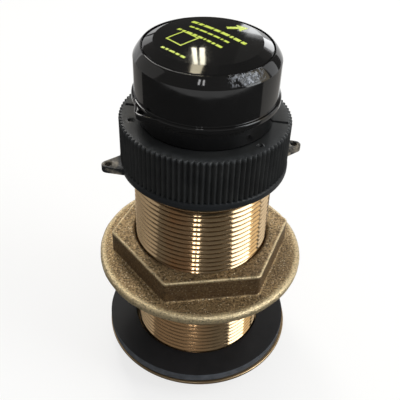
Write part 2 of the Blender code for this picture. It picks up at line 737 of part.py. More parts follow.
def insert_cap():
    stop = spigot_top + SEAT_GAP
    shoulder_steps = 3
    power = 2 / CAP_SHOULDER_FULLNESS
    profile = [(lid_seat_radius, shoulder_top), (cap_rim_radius, shoulder_top)]
    for step in range(1, shoulder_steps):
        sweep = math.pi / 2 * (1 - step / shoulder_steps)
        profile.append((cap_rim_radius + CAP_SHOULDER_INSET * math.cos(sweep) ** power,
                        shoulder_bottom + CAP_SHOULDER_RISE * math.sin(sweep) ** power))
    profile.append((cap_radius, shoulder_bottom))
    profile.append((cap_radius, cap_flange_top))
    round_centre = cap_flange_radius - CAP_FLANGE_ROUND
    profile += arc((round_centre, cap_flange_top - CAP_FLANGE_ROUND), CAP_FLANGE_ROUND, 90, 0, 1)
    profile += arc((round_centre, cap_flange_bottom + CAP_FLANGE_ROUND), CAP_FLANGE_ROUND, 0, -90, 1)
    profile += [
        (neck_radius, cap_flange_bottom),
        (neck_radius, cap_bottom),
        (cap_bore, cap_bottom),
        (cap_bore, stop),
        (cap_cavity_radius, stop),
        (cap_cavity_radius, lid_ledge),
        (lid_seat_radius, lid_ledge),
    ]
    cap = turned("insert_cap", profile, GLOSS_PLASTIC)

    inside = (cap_cavity_radius + cap_radius) / 2
    outline = tab_outline(lobe_reach, LOBE_TIP_RADIUS, LOBE_HALF_WIDTH,
                          cap_flange_radius - LOBE_ROOT_SUNK)
    for side in range(2):
        angle = LOBE_ANGLE + side * math.pi
        lobe = plate(f"cap_lobe_{side}", turn_points(outline, angle),
                     cap_flange_bottom + LOBE_FACE_STEP,
                     cap_flange_top - LOBE_FACE_STEP, tool=True)
        cut(lobe, rod(f"lobe_clearance_{side}", inside,
                      cap_bottom, shoulder_bottom, steps=MEDIUM_TURN, tool=True))
        join(cap, lobe)
        at = (*polar(lobe_reach - LOBE_HOLE_FROM_TIP, angle), 0)
        cut(cap, rod(f"lobe_hole_{side}", LOBE_HOLE_RADIUS, cap_flange_bottom - CUT_PAST,
                     cap_flange_top + CUT_PAST, steps=12, tool=True, location=at))

    towards_stern = (-math.pi / 2, 0, 0)
    gland_at = (0, 0, gland_height)
    join(cap, rod("gland_boss", GLAND_BOSS_RADIUS, inside, gland_boss_reach, steps=32, tool=True,
                  location=gland_at, rotation=towards_stern))
    cut(cap, rod("gland_hole", GLAND_SHANK_RADIUS + SEAT_GAP, cap_cavity_radius - CUT_PAST,
                 gland_boss_reach + CUT_PAST, steps=24, tool=True, location=gland_at,
                 rotation=towards_stern))
    return cap


def cap_lid():
    crown_steps = 3
    slope_steps = 2
    profile = []
    for step in range(crown_steps + 1):
        outward = step / crown_steps
        profile.append((lid_crease_radius * outward, lid_crown - LID_CROWN_RISE * outward ** 2))
    for step in range(1, slope_steps + 1):
        outward = step / slope_steps
        fall = LID_CREASE_RISE * outward ** LID_SLOPE_CURVE
        profile.append((lid_crease_radius + (lid_radius - lid_crease_radius) * outward,
                        lid_crease - fall))
    skirt = lid_radius - LID_SKIRT
    profile += [
        (lid_radius, lid_bottom),
        (skirt, lid_bottom),
        (skirt, lid_edge_top),
        (lid_crease_radius - LID_SKIN, lid_crease - LID_SKIN),
        (0, lid_crown - LID_SKIN),
    ]
    return turned("cap_lid", profile, GLOSS_PLASTIC)


# Paddlewheel, its magnets and its shaft

def blade_angle(fraction):
    """Angle of a blade's leading side, swept back towards its tip."""
    return BLADE_SWEEP * fraction ** 2


def paddlewheel():
    outline = []
    for blade in range(BLADE_COUNT):
        root = blade * math.tau / BLADE_COUNT
        leading, trailing = [], []
        for step in range(BLADE_STEPS + 1):
            fraction = step / BLADE_STEPS
            radius = WHEEL_HUB_RADIUS + (wheel_radius - WHEEL_HUB_RADIUS) * fraction
            angle = root + blade_angle(fraction)
            leading.append(polar(radius, angle))
            trailing.append(polar(radius, angle + BLADE_THICKNESS / radius))
        outline += leading + trailing[::-1]
    half = WHEEL_WIDTH / 2
    wheel = plate("paddlewheel", outline, -half, half, WHEEL_PLASTIC)
    cut(wheel, rod("wheel_bore", SHAFT_RADIUS + SEAT_GAP, -half - CUT_PAST, half + CUT_PAST,
                   tool=True))
    depth = MAGNET_FROM_SIDE + MAGNET_LENGTH + SEAT_GAP
    for blade, at in enumerate(magnet_centres()):
        cut(wheel, rod(f"magnet_seat_{blade}", MAGNET_RADIUS + SEAT_GAP, half - depth,
                       half + CUT_PAST, steps=12, tool=True, location=(*at, 0)))
    return wheel


def magnet_centres():
    from_axis = wheel_radius - MAGNET_FROM_TIP
    fraction = (from_axis - WHEEL_HUB_RADIUS) / (wheel_radius - WHEEL_HUB_RADIUS)
    middle = blade_angle(fraction) + BLADE_THICKNESS / from_axis / 2
    return [polar(from_axis, middle + blade * math.tau / BLADE_COUNT)
            for blade in range(BLADE_COUNT)]


def wheel_magnets():
    top = WHEEL_WIDTH / 2 - MAGNET_FROM_SIDE
    return [rod(f"wheel_magnet_{blade + 1}", MAGNET_RADIUS, top - MAGNET_LENGTH, top, MAGNET, 12,
                location=(*at, 0))
            for blade, at in enumerate(magnet_centres())]


def wheel_shaft():
    half = WHEEL_WIDTH / 2 + WHEEL_SIDE_GAP + SHAFT_SEAT_DEPTH - SEAT_GAP
    return rod("wheel_shaft", SHAFT_RADIUS, -half, half, STEEL, 16)


# Depth element: window, ceramic disc, cork backing and two leads

def depth_element():
    at = (0, piezo_astern, 0)
    window = rod("acoustic_window", pocket_radius - SEAT_GAP, head_face, window_top, URETHANE, 32,
                 location=at)
    disc = rod("piezo_disc", piezo_radius, piezo_bottom, piezo_top, CERAMIC, 32, location=at)
    backing = rod("piezo_backing", piezo_radius, backing_bottom, backing_top, CORK, 32, location=at)
    notch = LEAD_SPACING / 2 + LEAD_RADIUS + SEAT_GAP
    cut(backing, block("lead_notch",
                       (-notch, lead_astern - notch, backing_bottom - SEAT_GAP),
                       (notch, piezo_astern + piezo_radius + notch, backing_top + SEAT_GAP),
                       tool=True))
    return window, disc, backing


def piezo_leads():
    """Two wires from the disc up through the floor to the foot of the circuit board."""
    at_board = board_face + SEAT_GAP + LEAD_RADIUS
    bend = cavity_floor + LEAD_STRAIGHT_UP
    landing = BOARD_BOTTOM + LEAD_LANDS_UP_BOARD
    for name, sign in (("piezo_lead_port", -1), ("piezo_lead_starboard", 1)):
        x = sign * LEAD_SPACING / 2
        route = [(x, lead_astern, backing_bottom), (x, lead_astern, bend)]
        for step in range(1, LEAD_STEPS):
            share = step / LEAD_STEPS
            ease = share * share * (3 - 2 * share)
            route.append((x * (1 + share), lead_astern + (at_board - lead_astern) * ease,
                          bend + (landing - bend) * share))
        route += [(2 * x, at_board, landing), (2 * x, at_board, landing + LEAD_ON_BOARD)]
        wire(name, route, LEAD_RADIUS, WIRE_RED)


# Temperature probe

def temperature_probe():
    face = head_face - SEAT_GAP
    tip = face - PROBE_HEAD_HEIGHT
    top = cavity_floor + PROBE_INSIDE
    profile = [
        (0, top),
        (PROBE_SHANK_RADIUS, top),
        (PROBE_SHANK_RADIUS, face),
        (PROBE_HEAD_RADIUS, face),
        (PROBE_HEAD_RADIUS, face - PROBE_RIM),
        (PROBE_TIP_RADIUS, tip),
        (0, tip),
    ]
    return turned("temperature_probe", profile, STEEL, SMALL_TURN, location=(*probe_at, 0))


# Circuit board and what is soldered to it

def circuit_board():
    return block("circuit_board", (-board_half_width, -board_face, BOARD_BOTTOM),
                 (board_half_width, board_face, board_top), BOARD_GREEN)


def board_pieces():
    front = board_face + SEAT_GAP
    half_chip = CHIP_SIZE / 2
    chip_z = BOARD_BOTTOM + CHIP_UP_BOARD
    block("microcontroller", (-half_chip, front, chip_z - half_chip),
          (half_chip, front + CHIP_THICKNESS, chip_z + half_chip), CHIP_BLACK)
    header_top = board_top - HEADER_DOWN_BOARD
    block("cable_header", (-HEADER_SIZE.x / 2, front, header_top - HEADER_SIZE.z),
          (HEADER_SIZE.x / 2, front + HEADER_SIZE.y, header_top), CHIP_BLACK)
    away = (math.pi / 2, 0, 0)
    rod("matching_transformer", CORE_RADIUS, front, front + CORE_HEIGHT, FERRITE, 24,
        location=(0, 0, BOARD_BOTTOM + CORE_UP_BOARD), rotation=away)
    lying = (0, math.pi / 2, 0)
    rod("filter_capacitor", CAPACITOR_RADIUS, -CAPACITOR_LENGTH / 2, CAPACITOR_LENGTH / 2, FOIL, 20,
        location=(0, -(front + CAPACITOR_RADIUS), BOARD_BOTTOM + CAPACITOR_UP_BOARD),
        rotation=lying)


def speed_sensor():
    """Hall-effect sensor standing on the floor above the paddlewheel."""
    low = cavity_floor + SEAT_GAP
    half = SENSOR_SIZE / 2
    body = block("speed_sensor", (-half.x, -wheel_ahead - half.y, low),
                 (half.x, -wheel_ahead + half.y, low + SENSOR_SIZE.z), CHIP_BLACK)
    leg = SENSOR_LEG / 2
    for index in (-1, 0, 1):
        x = index * SENSOR_LEG_PITCH
        join(body, block(f"sensor_leg_{index + 1}",
                         (x - leg, -wheel_ahead - leg, low + half.z),
                         (x + leg, -wheel_ahead + leg, low + SENSOR_SIZE.z + SENSOR_LEG_LENGTH),
                         tool=True))
    return body


# Cable gland: a hexagon body screwed into the boss, and its round cap

def cable_gland():
    towards_stern = (-math.pi / 2, 0, 0)
    at = (0, 0, gland_height)
    shank_end = cap_cavity_radius
    tail_end = gland_hex_end + GLAND_CAP_LENGTH
    tail_radius = GLAND_CAP_RADIUS - GLAND_CAP_WALL - SEAT_GAP
    profile = [
        (GLAND_BORE, tail_end - GLAND_CAP_WALL - SEAT_GAP),
        (tail_radius, tail_end - GLAND_CAP_WALL - SEAT_GAP),
        (tail_radius, gland_face + GLAND_HEX_HEIGHT / 2),
        (GLAND_SHANK_RADIUS, gland_face + GLAND_HEX_HEIGHT / 2),
        (GLAND_SHANK_RADIUS, shank_end),
        (GLAND_BORE, shank_end),
    ]
    gland = turned("cable_gland", profile, MATT_PLASTIC, SMALL_TURN, location=at, rotation=towards_stern)
    hexagon = turned("gland_hexagon", [(GLAND_BORE, gland_hex_end), (GLAND_HEX_RADIUS, gland_hex_end),
                                       (GLAND_HEX_RADIUS, gland_face), (GLAND_BORE, gland_face)],
                     steps=6, tool=True, location=at, rotation=towards_stern)
    join(gland, hexagon)
    cut(gland, rod("gland_bore", GLAND_BORE, shank_end - CUT_PAST, tail_end + CUT_PAST, tool=True,
                   location=at, rotation=towards_stern))
    cap_profile = [
        (GLAND_BORE, tail_end),
        (GLAND_CAP_RADIUS - GLAND_CAP_WALL, tail_end),
        (GLAND_CAP_RADIUS, tail_end - GLAND_CAP_WALL),
        (GLAND_CAP_RADIUS, gland_hex_end + SEAT_GAP),
        (tail_radius + SEAT_GAP, gland_hex_end + SEAT_GAP),
        (tail_radius + SEAT_GAP, tail_end - GLAND_CAP_WALL),
        (GLAND_BORE, tail_end - GLAND_CAP_WALL),
    ]
    turned("gland_cap", cap_profile, MATT_PLASTIC, SMALL_TURN, location=at, rotation=towards_stern)
    return gland


# Putting it together

def empty(name, location=(0, 0, 0), rotation=(0, 0, 0), parent=None):
    item = bpy.data.objects.new(name, None)
    PARTS.objects.link(item)
    item.location = location
    item.rotation_euler = Euler(rotation)
    item.parent = parent
    return item


def build():
    housing()
    hull_washer()
    hull_nut()
    insert_body()
    o_ring("upper_o_ring", upper_o_ring_z)
    o_ring("lower_o_ring", lower_o_ring_z)
    cap_nut()
    insert_cap()
    cap_lid()
    depth_element()
    piezo_leads()
    temperature_probe()
    circuit_board()
    board_pieces()
    speed_sensor()
    cable_gland()

    axle = empty("wheel_axis", (0, -wheel_ahead, wheel_axis_z), (0, math.pi / 2, 0))
    wheel = paddlewheel()
    for piece in (wheel, wheel_shaft(), *wheel_magnets()):
        piece.parent = axle
    for modifier in wheel.modifiers:
        modifier.object.parent = axle


build()
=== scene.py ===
import math

import bmesh
import bpy
from mathutils import Matrix, Vector, noise


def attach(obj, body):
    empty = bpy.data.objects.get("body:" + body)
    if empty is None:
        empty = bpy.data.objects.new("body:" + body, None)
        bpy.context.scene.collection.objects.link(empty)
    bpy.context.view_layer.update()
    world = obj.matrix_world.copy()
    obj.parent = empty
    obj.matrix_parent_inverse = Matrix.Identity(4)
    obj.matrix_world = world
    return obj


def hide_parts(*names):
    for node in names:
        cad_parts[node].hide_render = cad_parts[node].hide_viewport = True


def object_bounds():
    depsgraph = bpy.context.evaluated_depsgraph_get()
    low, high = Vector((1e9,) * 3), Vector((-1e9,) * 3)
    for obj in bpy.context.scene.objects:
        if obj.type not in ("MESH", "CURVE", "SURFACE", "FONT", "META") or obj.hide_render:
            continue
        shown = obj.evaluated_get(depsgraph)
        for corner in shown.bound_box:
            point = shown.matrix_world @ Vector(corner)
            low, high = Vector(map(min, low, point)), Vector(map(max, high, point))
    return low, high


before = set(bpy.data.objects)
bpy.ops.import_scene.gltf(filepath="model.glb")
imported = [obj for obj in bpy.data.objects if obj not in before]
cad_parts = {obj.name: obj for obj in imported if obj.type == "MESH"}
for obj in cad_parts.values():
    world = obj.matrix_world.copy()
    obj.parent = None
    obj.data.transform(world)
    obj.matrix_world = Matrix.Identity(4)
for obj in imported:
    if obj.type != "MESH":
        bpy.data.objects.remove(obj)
cad_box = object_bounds()


# Studio: the camera stands where the photograph was taken from, and the transducer stands on a
# pale floor under soft lamps. Dark and grey cloths hang round it and lie about it, and only its
# shiny faces see them. Angles are counted from the camera's side, to the right as seen from it.

CAMERA_AT = Vector((0.0, -0.18990, 0.21129))
CAMERA_PITCH = math.radians(38.737)
CAMERA_YAW = math.radians(-0.230)
CAMERA_ROLL = math.radians(2.174)
CAMERA_LENS = 57.31
SENSOR_WIDTH = 36.0
NEAREST_SEEN = 0.01
FLOOR_REACH = 1.6
FLOOR_BELOW = 0.0001
FLOOR_COLOUR = (0.86, 0.86, 0.85, 1.0)
FLOOR_ROUGHNESS = 0.9
FLOOR_SHINE = 0.1
FLOOR_GLOW = 0.72
SURROUND_ON_OBJECT = 0.50
STUDIO_CENTRE = Vector((0.0, 0.0, 0.055))
CLOTH_DISTANCE = 1.25
CLOTH_STEP = 4.0
CLOTH_COLOUR = (1.0, 0.96, 0.90, 1.0)
# Each cloth runs from one angle to another round the studio, and from one height to another,
# and has its own glow.
CLOTHS = (
    (-100.0, -76.0, -9.0, 90.0, 0.17),
    (-76.0, 48.0, -9.0, 90.0, 0.15),
    (48.0, 140.0, -9.0, 90.0, 0.075),
    (140.0, 172.0, 24.0, 90.0, 0.13),
    (172.0, 200.0, 4.0, 90.0, 0.075),
    (200.0, 232.0, 20.0, 90.0, 0.13),
    (232.0, 260.0, -9.0, 90.0, 0.14),
)
# Each table cloth runs from one angle to another, out to its reach, and has its own glow.
TABLE_CLOTHS = (
    (-108.0, 88.0, 0.62, 0.055),
    (88.0, 144.0, 0.62, 0.50),
    (144.0, 212.0, 0.14, 0.075),
    (212.0, 252.0, 0.62, 0.38),
)
TABLE_CLOTH_INNER = 0.030
TABLE_CLOTH_ABOVE = 0.0002
# Name, angle round, height, distance, width, height of the lamp, brightness, colour
LAMPS = (
    ("key_light", 70.5, 28.0, 0.62, 0.27, 0.60, 4.4, (0.93, 0.97, 1.0)),
    ("warm_light", 91.0, 28.0, 0.62, 0.20, 0.60, 1.2, (1.0, 0.86, 0.62)),
    ("top_light", -156.0, 49.0, 0.66, 0.15, 0.30, 9.5, (1.0, 0.98, 0.95)),
    ("overhead_light", -156.0, 77.6, 0.89, 0.20, 0.11, 10.5, (1.0, 0.90, 0.64)),
    ("left_light", -106.0, 22.0, 0.80, 0.74, 0.62, 0.32, (1.0, 0.985, 0.96)),
    ("rear_right_light", 114.0, 18.0, 0.72, 0.24, 0.50, 1.1, (0.97, 0.985, 1.0)),
    ("right_rim_light", 161.0, 15.5, 0.72, 0.30, 0.20, 3.2, (0.97, 0.985, 1.0)),
    ("front_pane_left", -12.6, 46.5, 0.80, 0.030, 0.17, 8.0, (1.0, 1.0, 1.0)),
    ("front_pane_right", -5.2, 46.5, 0.80, 0.030, 0.17, 8.0, (1.0, 1.0, 1.0)),
    ("window_pane_left", 184.0, 40.6, 0.894, 0.017, 0.146, 17.0, (1.0, 0.94, 0.74)),
    ("window_pane_right", 181.7, 40.6, 0.894, 0.018, 0.146, 15.0, (1.0, 0.94, 0.74)),
)


def put_in_scene(name, data):
    item = bpy.data.objects.new(name, data)
    bpy.context.scene.collection.objects.link(item)
    return item


def add_node(tree, kind, *inputs, **settings):
    """Add a shader node, set it, and fill its sockets in order with links or values."""
    made = tree.nodes.new("ShaderNode" + kind)
    for name, value in settings.items():
        setattr(made, name, value)
    for socket, given in zip(made.inputs, inputs):
        if isinstance(given, bpy.types.NodeSocket):
            tree.links.new(given, socket)
        elif given is not None:
            socket.default_value = given
    return made


def calculate(tree, operation, first, second=None):
    return add_node(tree, "Math", first, second, operation=operation).outputs[0]


def product(tree, *shares):
    """All the shares multiplied together."""
    result = shares[0]
    for share in shares[1:]:
        result = calculate(tree, "MULTIPLY", result, share)
    return result


def new_material(name):
    material = bpy.data.materials.new(name)
    material.use_nodes = True
    return material, material.node_tree


def new_finish(name, roughness, metallic=0.0, specular=0.5):
    """A material with its Principled shader, whose constant values are set here."""
    finish, tree = new_material(name)
    shader = tree.nodes["Principled BSDF"]
    shader.inputs["Roughness"].default_value = roughness
    shader.inputs["Metallic"].default_value = metallic
    shader.inputs["Specular IOR Level"].default_value = specular
    return finish, tree, shader


def studio_direction(angle, height):
    """A direction from the object, by angle round the studio and angle above the horizon."""
    angle, height = math.radians(angle), math.radians(height)
    return Vector((math.sin(angle) * math.cos(height), -math.cos(angle) * math.cos(height),
                   math.sin(height)))


def seen_directly(tree):
    """1 for camera, glossy and transmission rays, and 0 for the rest."""
    path = add_node(tree, "LightPath")
    mirrored = calculate(tree, "ADD", path.outputs["Is Glossy Ray"],
                         path.outputs["Is Transmission Ray"])
    either = calculate(tree, "ADD", path.outputs["Is Camera Ray"], mirrored)
    return calculate(tree, "MINIMUM", either, 1.0)


def set_camera():
    forward = Vector((math.sin(CAMERA_YAW) * math.cos(CAMERA_PITCH),
                      math.cos(CAMERA_YAW) * math.cos(CAMERA_PITCH), -math.sin(CAMERA_PITCH)))
    level = forward.cross(Vector((0, 0, 1))).normalized()
    upright = level.cross(forward)
    cosine, sine = math.cos(CAMERA_ROLL), math.sin(CAMERA_ROLL)
    right = level * cosine + upright * sine
    up = upright * cosine - level * sine
    camera = put_in_scene("camera", bpy.data.cameras.new("camera"))
    turn = Matrix((right, up, -forward)).transposed()
    camera.matrix_world = Matrix.Translation(CAMERA_AT) @ turn.to_4x4()
    camera.data.sensor_width = SENSOR_WIDTH
    camera.data.lens = CAMERA_LENS
    camera.data.clip_start = NEAREST_SEEN
    bpy.context.scene.camera = camera


def set_surround():
    world = bpy.data.worlds.new("surround")
    world.use_nodes = True
    tree = world.node_tree
    extra = product(tree, seen_directly(tree), 1.0 - SURROUND_ON_OBJECT)
    strength = calculate(tree, "ADD", extra, SURROUND_ON_OBJECT)
    background = tree.nodes["Background"]
    background.inputs["Color"].default_value = (1, 1, 1, 1)
    tree.links.new(strength, background.inputs["Strength"])
    bpy.context.scene.world = world


def lay_mesh(name, vertices, faces, finish):
    mesh = bpy.data.meshes.new(name)
    mesh.from_pydata(vertices, [], faces)
    mesh.materials.append(finish)
    return put_in_scene(name, mesh)


def lay_floor():
    low = cad_box[0].z - FLOOR_BELOW
    reach = FLOOR_REACH
    paint, tree, shader = new_finish("floor_paint", FLOOR_ROUGHNESS, specular=FLOOR_SHINE)
    shader.inputs["Base Color"].default_value = FLOOR_COLOUR
    glow = add_node(tree, "Emission", (1, 1, 1, 1), 1.0)
    share = product(tree, seen_directly(tree), FLOOR_GLOW)
    both = add_node(tree, "MixShader", share, shader.outputs[0], glow.outputs[0])
    tree.links.new(both.outputs[0], tree.nodes["Material Output"].inputs["Surface"])
    corners = [(-reach, -reach, low), (reach, -reach, low), (reach, reach, low),
               (-reach, reach, low)]
    lay_mesh("floor", corners, [(0, 1, 2, 3)], paint)


def cloth(name, vertices, faces, glow):
    """A cloth that only glossy rays see, so it takes no light from the object."""
    dye, tree = new_material(name)
    shine = add_node(tree, "Emission", CLOTH_COLOUR, glow)
    tree.links.new(shine.outputs[0], tree.nodes["Material Output"].inputs["Surface"])
    item = lay_mesh(name, vertices, faces, dye)
    item.visible_camera = False
    item.visible_diffuse = False
    item.visible_shadow = False
    item.visible_transmission = False


def hang_cloths():
    for number, (start, end, low, high, glow) in enumerate(CLOTHS, 1):
        across = round((end - start) / CLOTH_STEP)
        upward = round((high - low) / CLOTH_STEP)
        vertices, faces = [], []
        for column in range(across + 1):
            for row in range(upward + 1):
                angle = start + (end - start) * column / across
                height = low + (high - low) * row / upward
                vertices.append(STUDIO_CENTRE + studio_direction(angle, height) * CLOTH_DISTANCE)
        for column in range(across):
            for row in range(upward):
                at = column * (upward + 1) + row
                faces.append((at, at + upward + 1, at + upward + 2, at + 1))
        cloth(f"hanging_cloth_{number}", vertices, faces, glow)


def lay_table_cloths():
    height = cad_box[0].z - FLOOR_BELOW + TABLE_CLOTH_ABOVE
    for number, (start, end, reach, glow) in enumerate(TABLE_CLOTHS, 1):
        across = round((end - start) / CLOTH_STEP)
        vertices, faces = [], []
        for column in range(across + 1):
            toward = studio_direction(start + (end - start) * column / across, 0.0)
            vertices.append((*(toward * TABLE_CLOTH_INNER).xy, height))
            vertices.append((*(toward * reach).xy, height))
        for column in range(across):
            at = column * 2
            faces.append((at, at + 1, at + 3, at + 2))
        cloth(f"table_cloth_{number}", vertices, faces, glow)


def hang_lamps():
    for name, angle, height, distance, width, tall, brightness, colour in LAMPS:
        lamp = bpy.data.lights.new(name, "AREA")
        lamp.shape = "RECTANGLE"
        lamp.size = width
        lamp.size_y = tall
        lamp.energy = brightness * math.pi * width * tall
        lamp.color = colour
        item = put_in_scene(name, lamp)
        direction = studio_direction(angle, height)
        item.location = STUDIO_CENTRE + direction * distance
        item.rotation_mode = "QUATERNION"
        item.rotation_quaternion = direction.to_track_quat("Z", "Y")
        item.visible_camera = False


set_camera()
set_surround()
lay_floor()
hang_cloths()
lay_table_cloths()
hang_lamps()
bpy.context.scene.view_settings.view_transform = "Standard"


# Housing: one bronze casting, turned all over. Its 2-inch stem carries a right-hand thread of
# twelve turns to the inch, and its low flange has a crowned underside that lies in the water.
# The sonar head shows in its bore.

STEM_RADIUS = 0.0254
STEM_BORE = 0.0209
STEM_TOP = 0.0895
STEM_CHAMFER = 0.0008
FLANGE_RADIUS = 0.0379
FLANGE_TOP = -0.0039
FLANGE_RIM_LOW = -0.0051
FLANGE_FACE = -0.0081
FLANGE_FLAT_RADIUS = 0.0250
FLANGE_ROUND = 0.0005
FACE_ROUND = 0.0006
MOUTH_ROUND = 0.0004
THREAD_PITCH = 0.0254 / 12
THREAD_DEPTH = 0.00108
# One turn of the thread: how far along the pitch, and how deep as a share of the depth
THREAD_SHAPE = ((0.0, 0.0), (0.05, 0.02), (0.10, 0.10), (0.40, 0.90), (0.45, 0.98), (0.50, 1.0),
                (0.55, 0.98), (0.60, 0.90), (0.90, 0.10), (0.95, 0.02))
THREAD_STEPS = 144
THREAD_START_FADE = 0.0012
FRESH_BRONZE = (0.62, 0.45, 0.265)
DULL_BRONZE = (0.49, 0.35, 0.20)
# Painted reflections on the stem: a coppery streak, and a wider, brighter one below the hull nut
COPPERY_REFLECTION = (0.60, 0.32, 0.15)
COPPERY_REFLECTION_AT = (-0.0075, -0.0243, 0.0)
COPPERY_REFLECTION_REACH = 0.0075
BRIGHT_COPPERY_REFLECTION = (0.90, 0.56, 0.29)
BRIGHT_REFLECTION_BELOW = 0.036
# Dirt with painted shade in the thread's roots, full inside the inner radius, gone at the outer
THREAD_DIRT_AND_SHADE = (0.11, 0.065, 0.032)
THREAD_SHADE_OUTER = 0.02485
THREAD_SHADE_INNER = 0.02445


def place_on_piece(tree, stretch=(1.0, 1.0, 1.0)):
    """The piece's own coordinates in metres, stretched along each axis."""
    where = add_node(tree, "TexCoord").outputs["Object"]
    return add_node(tree, "VectorMath", where, stretch, operation="MULTIPLY").outputs[0]


def height_on_piece(tree):
    return add_node(tree, "SeparateXYZ", place_on_piece(tree)).outputs["Z"]


def from_axis(tree, at=(0.0, 0.0, 0.0)):
    """Distance from the upright line through a point of the piece."""
    away = add_node(tree, "VectorMath", place_on_piece(tree), at, operation="SUBTRACT")
    flat = add_node(tree, "VectorMath", away.outputs[0], (1.0, 1.0, 0.0), operation="MULTIPLY")
    return add_node(tree, "VectorMath", flat.outputs[0], operation="LENGTH").outputs["Value"]


def mottle(tree, across, detail=3.0, rough=0.55, stretch=(1.0, 1.0, 1.0)):
    """Soft random patches about as wide as across, in metres, from 0 to 1."""
    patches = add_node(tree, "TexNoise", place_on_piece(tree, stretch))
    patches.inputs["Scale"].default_value = 1.0 / across
    patches.inputs["Detail"].default_value = detail
    patches.inputs["Roughness"].default_value = rough
    return patches.outputs["Fac"]


def remap(tree, value, low, high, to_low=0.0, to_high=1.0):
    return add_node(tree, "MapRange", value, low, high, to_low, to_high).outputs["Result"]


def mix_colours(tree, share, first, second):
    """first where share is 0 and second where it is 1."""
    ends = [end if isinstance(end, bpy.types.NodeSocket) else (*end, 1.0)
            for end in (first, second)]
    unused = [None] * 5
    return add_node(tree, "Mix", share, *unused, *ends, data_type="RGBA").outputs[2]


def coat(tree, shader, colour, rough=None):
    """Link a colour, and a roughness where one is given, to the shader."""
    tree.links.new(colour, shader.inputs["Base Color"])
    if rough is not None:
        tree.links.new(rough, shader.inputs["Roughness"])


def roughen(tree, shader, height, depth, before=None):
    """Bump of a depth in metres, put on top of an earlier one."""
    bump = add_node(tree, "Bump")
    bump.inputs["Strength"].default_value = 1.0
    bump.inputs["Distance"].default_value = depth
    tree.links.new(height, bump.inputs["Height"])
    if before is not None:
        tree.links.new(before, bump.inputs["Normal"])
    tree.links.new(bump.outputs["Normal"], shader.inputs["Normal"])
    return bump.outputs["Normal"]


def softened(corners, steps=4):
    """A closed outline in which each corner (a, b, rounding) becomes a short curve."""
    points = []
    for index, (a, b, rounding) in enumerate(corners):
        here = Vector((a, b))
        if rounding == 0:
            points.append((a, b))
            continue
        before = Vector(corners[index - 1][:2])
        after = Vector(corners[(index + 1) % len(corners)][:2])
        start = here + (before - here).normalized() * rounding
        end = here + (after - here).normalized() * rounding
        for step in range(steps + 1):
            share = step / steps
            point = (start * (1 - share) ** 2 + here * 2 * share * (1 - share)
                     + end * share ** 2)
            points.append((point.x, point.y))
    return points


def spin_rings(rings, steps, closed=True):
    """Vertices and faces of rings round Z. A ring is (radius, height), or gives them by angle."""
    vertices, faces = [], []
    for ring in rings:
        for step in range(steps):
            angle = math.tau * step / steps
            radius, height = ring(angle) if callable(ring) else ring
            vertices.append((radius * math.cos(angle), radius * math.sin(angle), height))
    count = len(rings)
    for index in range(count if closed else count - 1):
        low, high = index * steps, (index + 1) % count * steps
        for step in range(steps):
            after = (step + 1) % steps
            faces.append((low + step, low + after, high + after, high + step))
    return vertices, faces


def make_piece(name, shapes, finish, body, replaced=(), sharp=38.0):
    """One object from several (vertices, faces), merged where they meet, riding on a body."""
    mesh = bpy.data.meshes.new(name)
    shape = bmesh.new()
    for vertices, faces in shapes:
        part = bpy.data.meshes.new(name + "_part")
        part.from_pydata(vertices, [], faces)
        shape.from_mesh(part)
        bpy.data.meshes.remove(part)
    bmesh.ops.remove_doubles(shape, verts=shape.verts, dist=0.000001)
    bmesh.ops.dissolve_degenerate(shape, edges=shape.edges, dist=0.000001)
    bmesh.ops.recalc_face_normals(shape, faces=shape.faces)
    shape.to_mesh(mesh)
    shape.free()
    mesh.shade_smooth()
    mesh.set_sharp_from_angle(angle=math.radians(sharp))
    mesh.materials.append(finish)
    piece = put_in_scene(name, mesh)
    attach(piece, body)
    if replaced:
        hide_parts(*replaced)
    return piece


def thread_surface():
    """The threaded wall of the stem as one helix, flattened at its two ends."""
    per_turn = len(THREAD_SHAPE)
    turns = math.ceil((STEM_TOP - FLANGE_TOP) / THREAD_PITCH) + 2
    rows = turns * per_turn
    vertices, faces = [], []
    for step in range(THREAD_STEPS):
        angle = math.tau * step / THREAD_STEPS
        for row in range(rows):
            turn, place = divmod(row, per_turn)
            along, deep = THREAD_SHAPE[place]
            height = FLANGE_TOP + THREAD_PITCH * (turn - 1 + along + step / THREAD_STEPS)
            if height <= FLANGE_TOP:
                height, radius = FLANGE_TOP, STEM_RADIUS
            elif height >= STEM_TOP:
                height, radius = STEM_TOP, STEM_RADIUS - STEM_CHAMFER
            else:
                fade = min(1.0, (height - FLANGE_TOP) / THREAD_START_FADE)
                radius = STEM_RADIUS - THREAD_DEPTH * deep * fade
                radius = min(radius, STEM_RADIUS - STEM_CHAMFER + STEM_TOP - height)
            vertices.append((radius * math.cos(angle), radius * math.sin(angle), height))
    for step in range(THREAD_STEPS):
        last = step == THREAD_STEPS - 1
        for row in range(rows - 1 - (per_turn if last else 0)):
            here = step * rows + row
            beside = row + per_turn if last else here + rows
            faces.append((here, beside, beside + 1, here + 1))
    return vertices, faces


def flange_and_bore():
    crown = []
    rim = FLANGE_RADIUS - (FLANGE_TOP - FLANGE_RIM_LOW) / 2
    for step in range(1, 13):
        inward = 1 - step / 12
        crown.append((FLANGE_FLAT_RADIUS + (rim - FLANGE_FLAT_RADIUS) * inward,
                      FLANGE_RIM_LOW - (FLANGE_RIM_LOW - FLANGE_FACE) * (1 - inward ** 2), 0))
    outline = [
        (STEM_RADIUS, FLANGE_TOP, 0),
        (FLANGE_RADIUS, FLANGE_TOP, FLANGE_ROUND),
        (FLANGE_RADIUS, FLANGE_RIM_LOW, FLANGE_ROUND),
        *crown,
        (STEM_BORE, FLANGE_FACE, FACE_ROUND),
        (STEM_BORE, STEM_TOP, MOUTH_ROUND),
        (STEM_RADIUS - STEM_CHAMFER, STEM_TOP, 0),
    ]
    return spin_rings(softened(outline), THREAD_STEPS, closed=False)


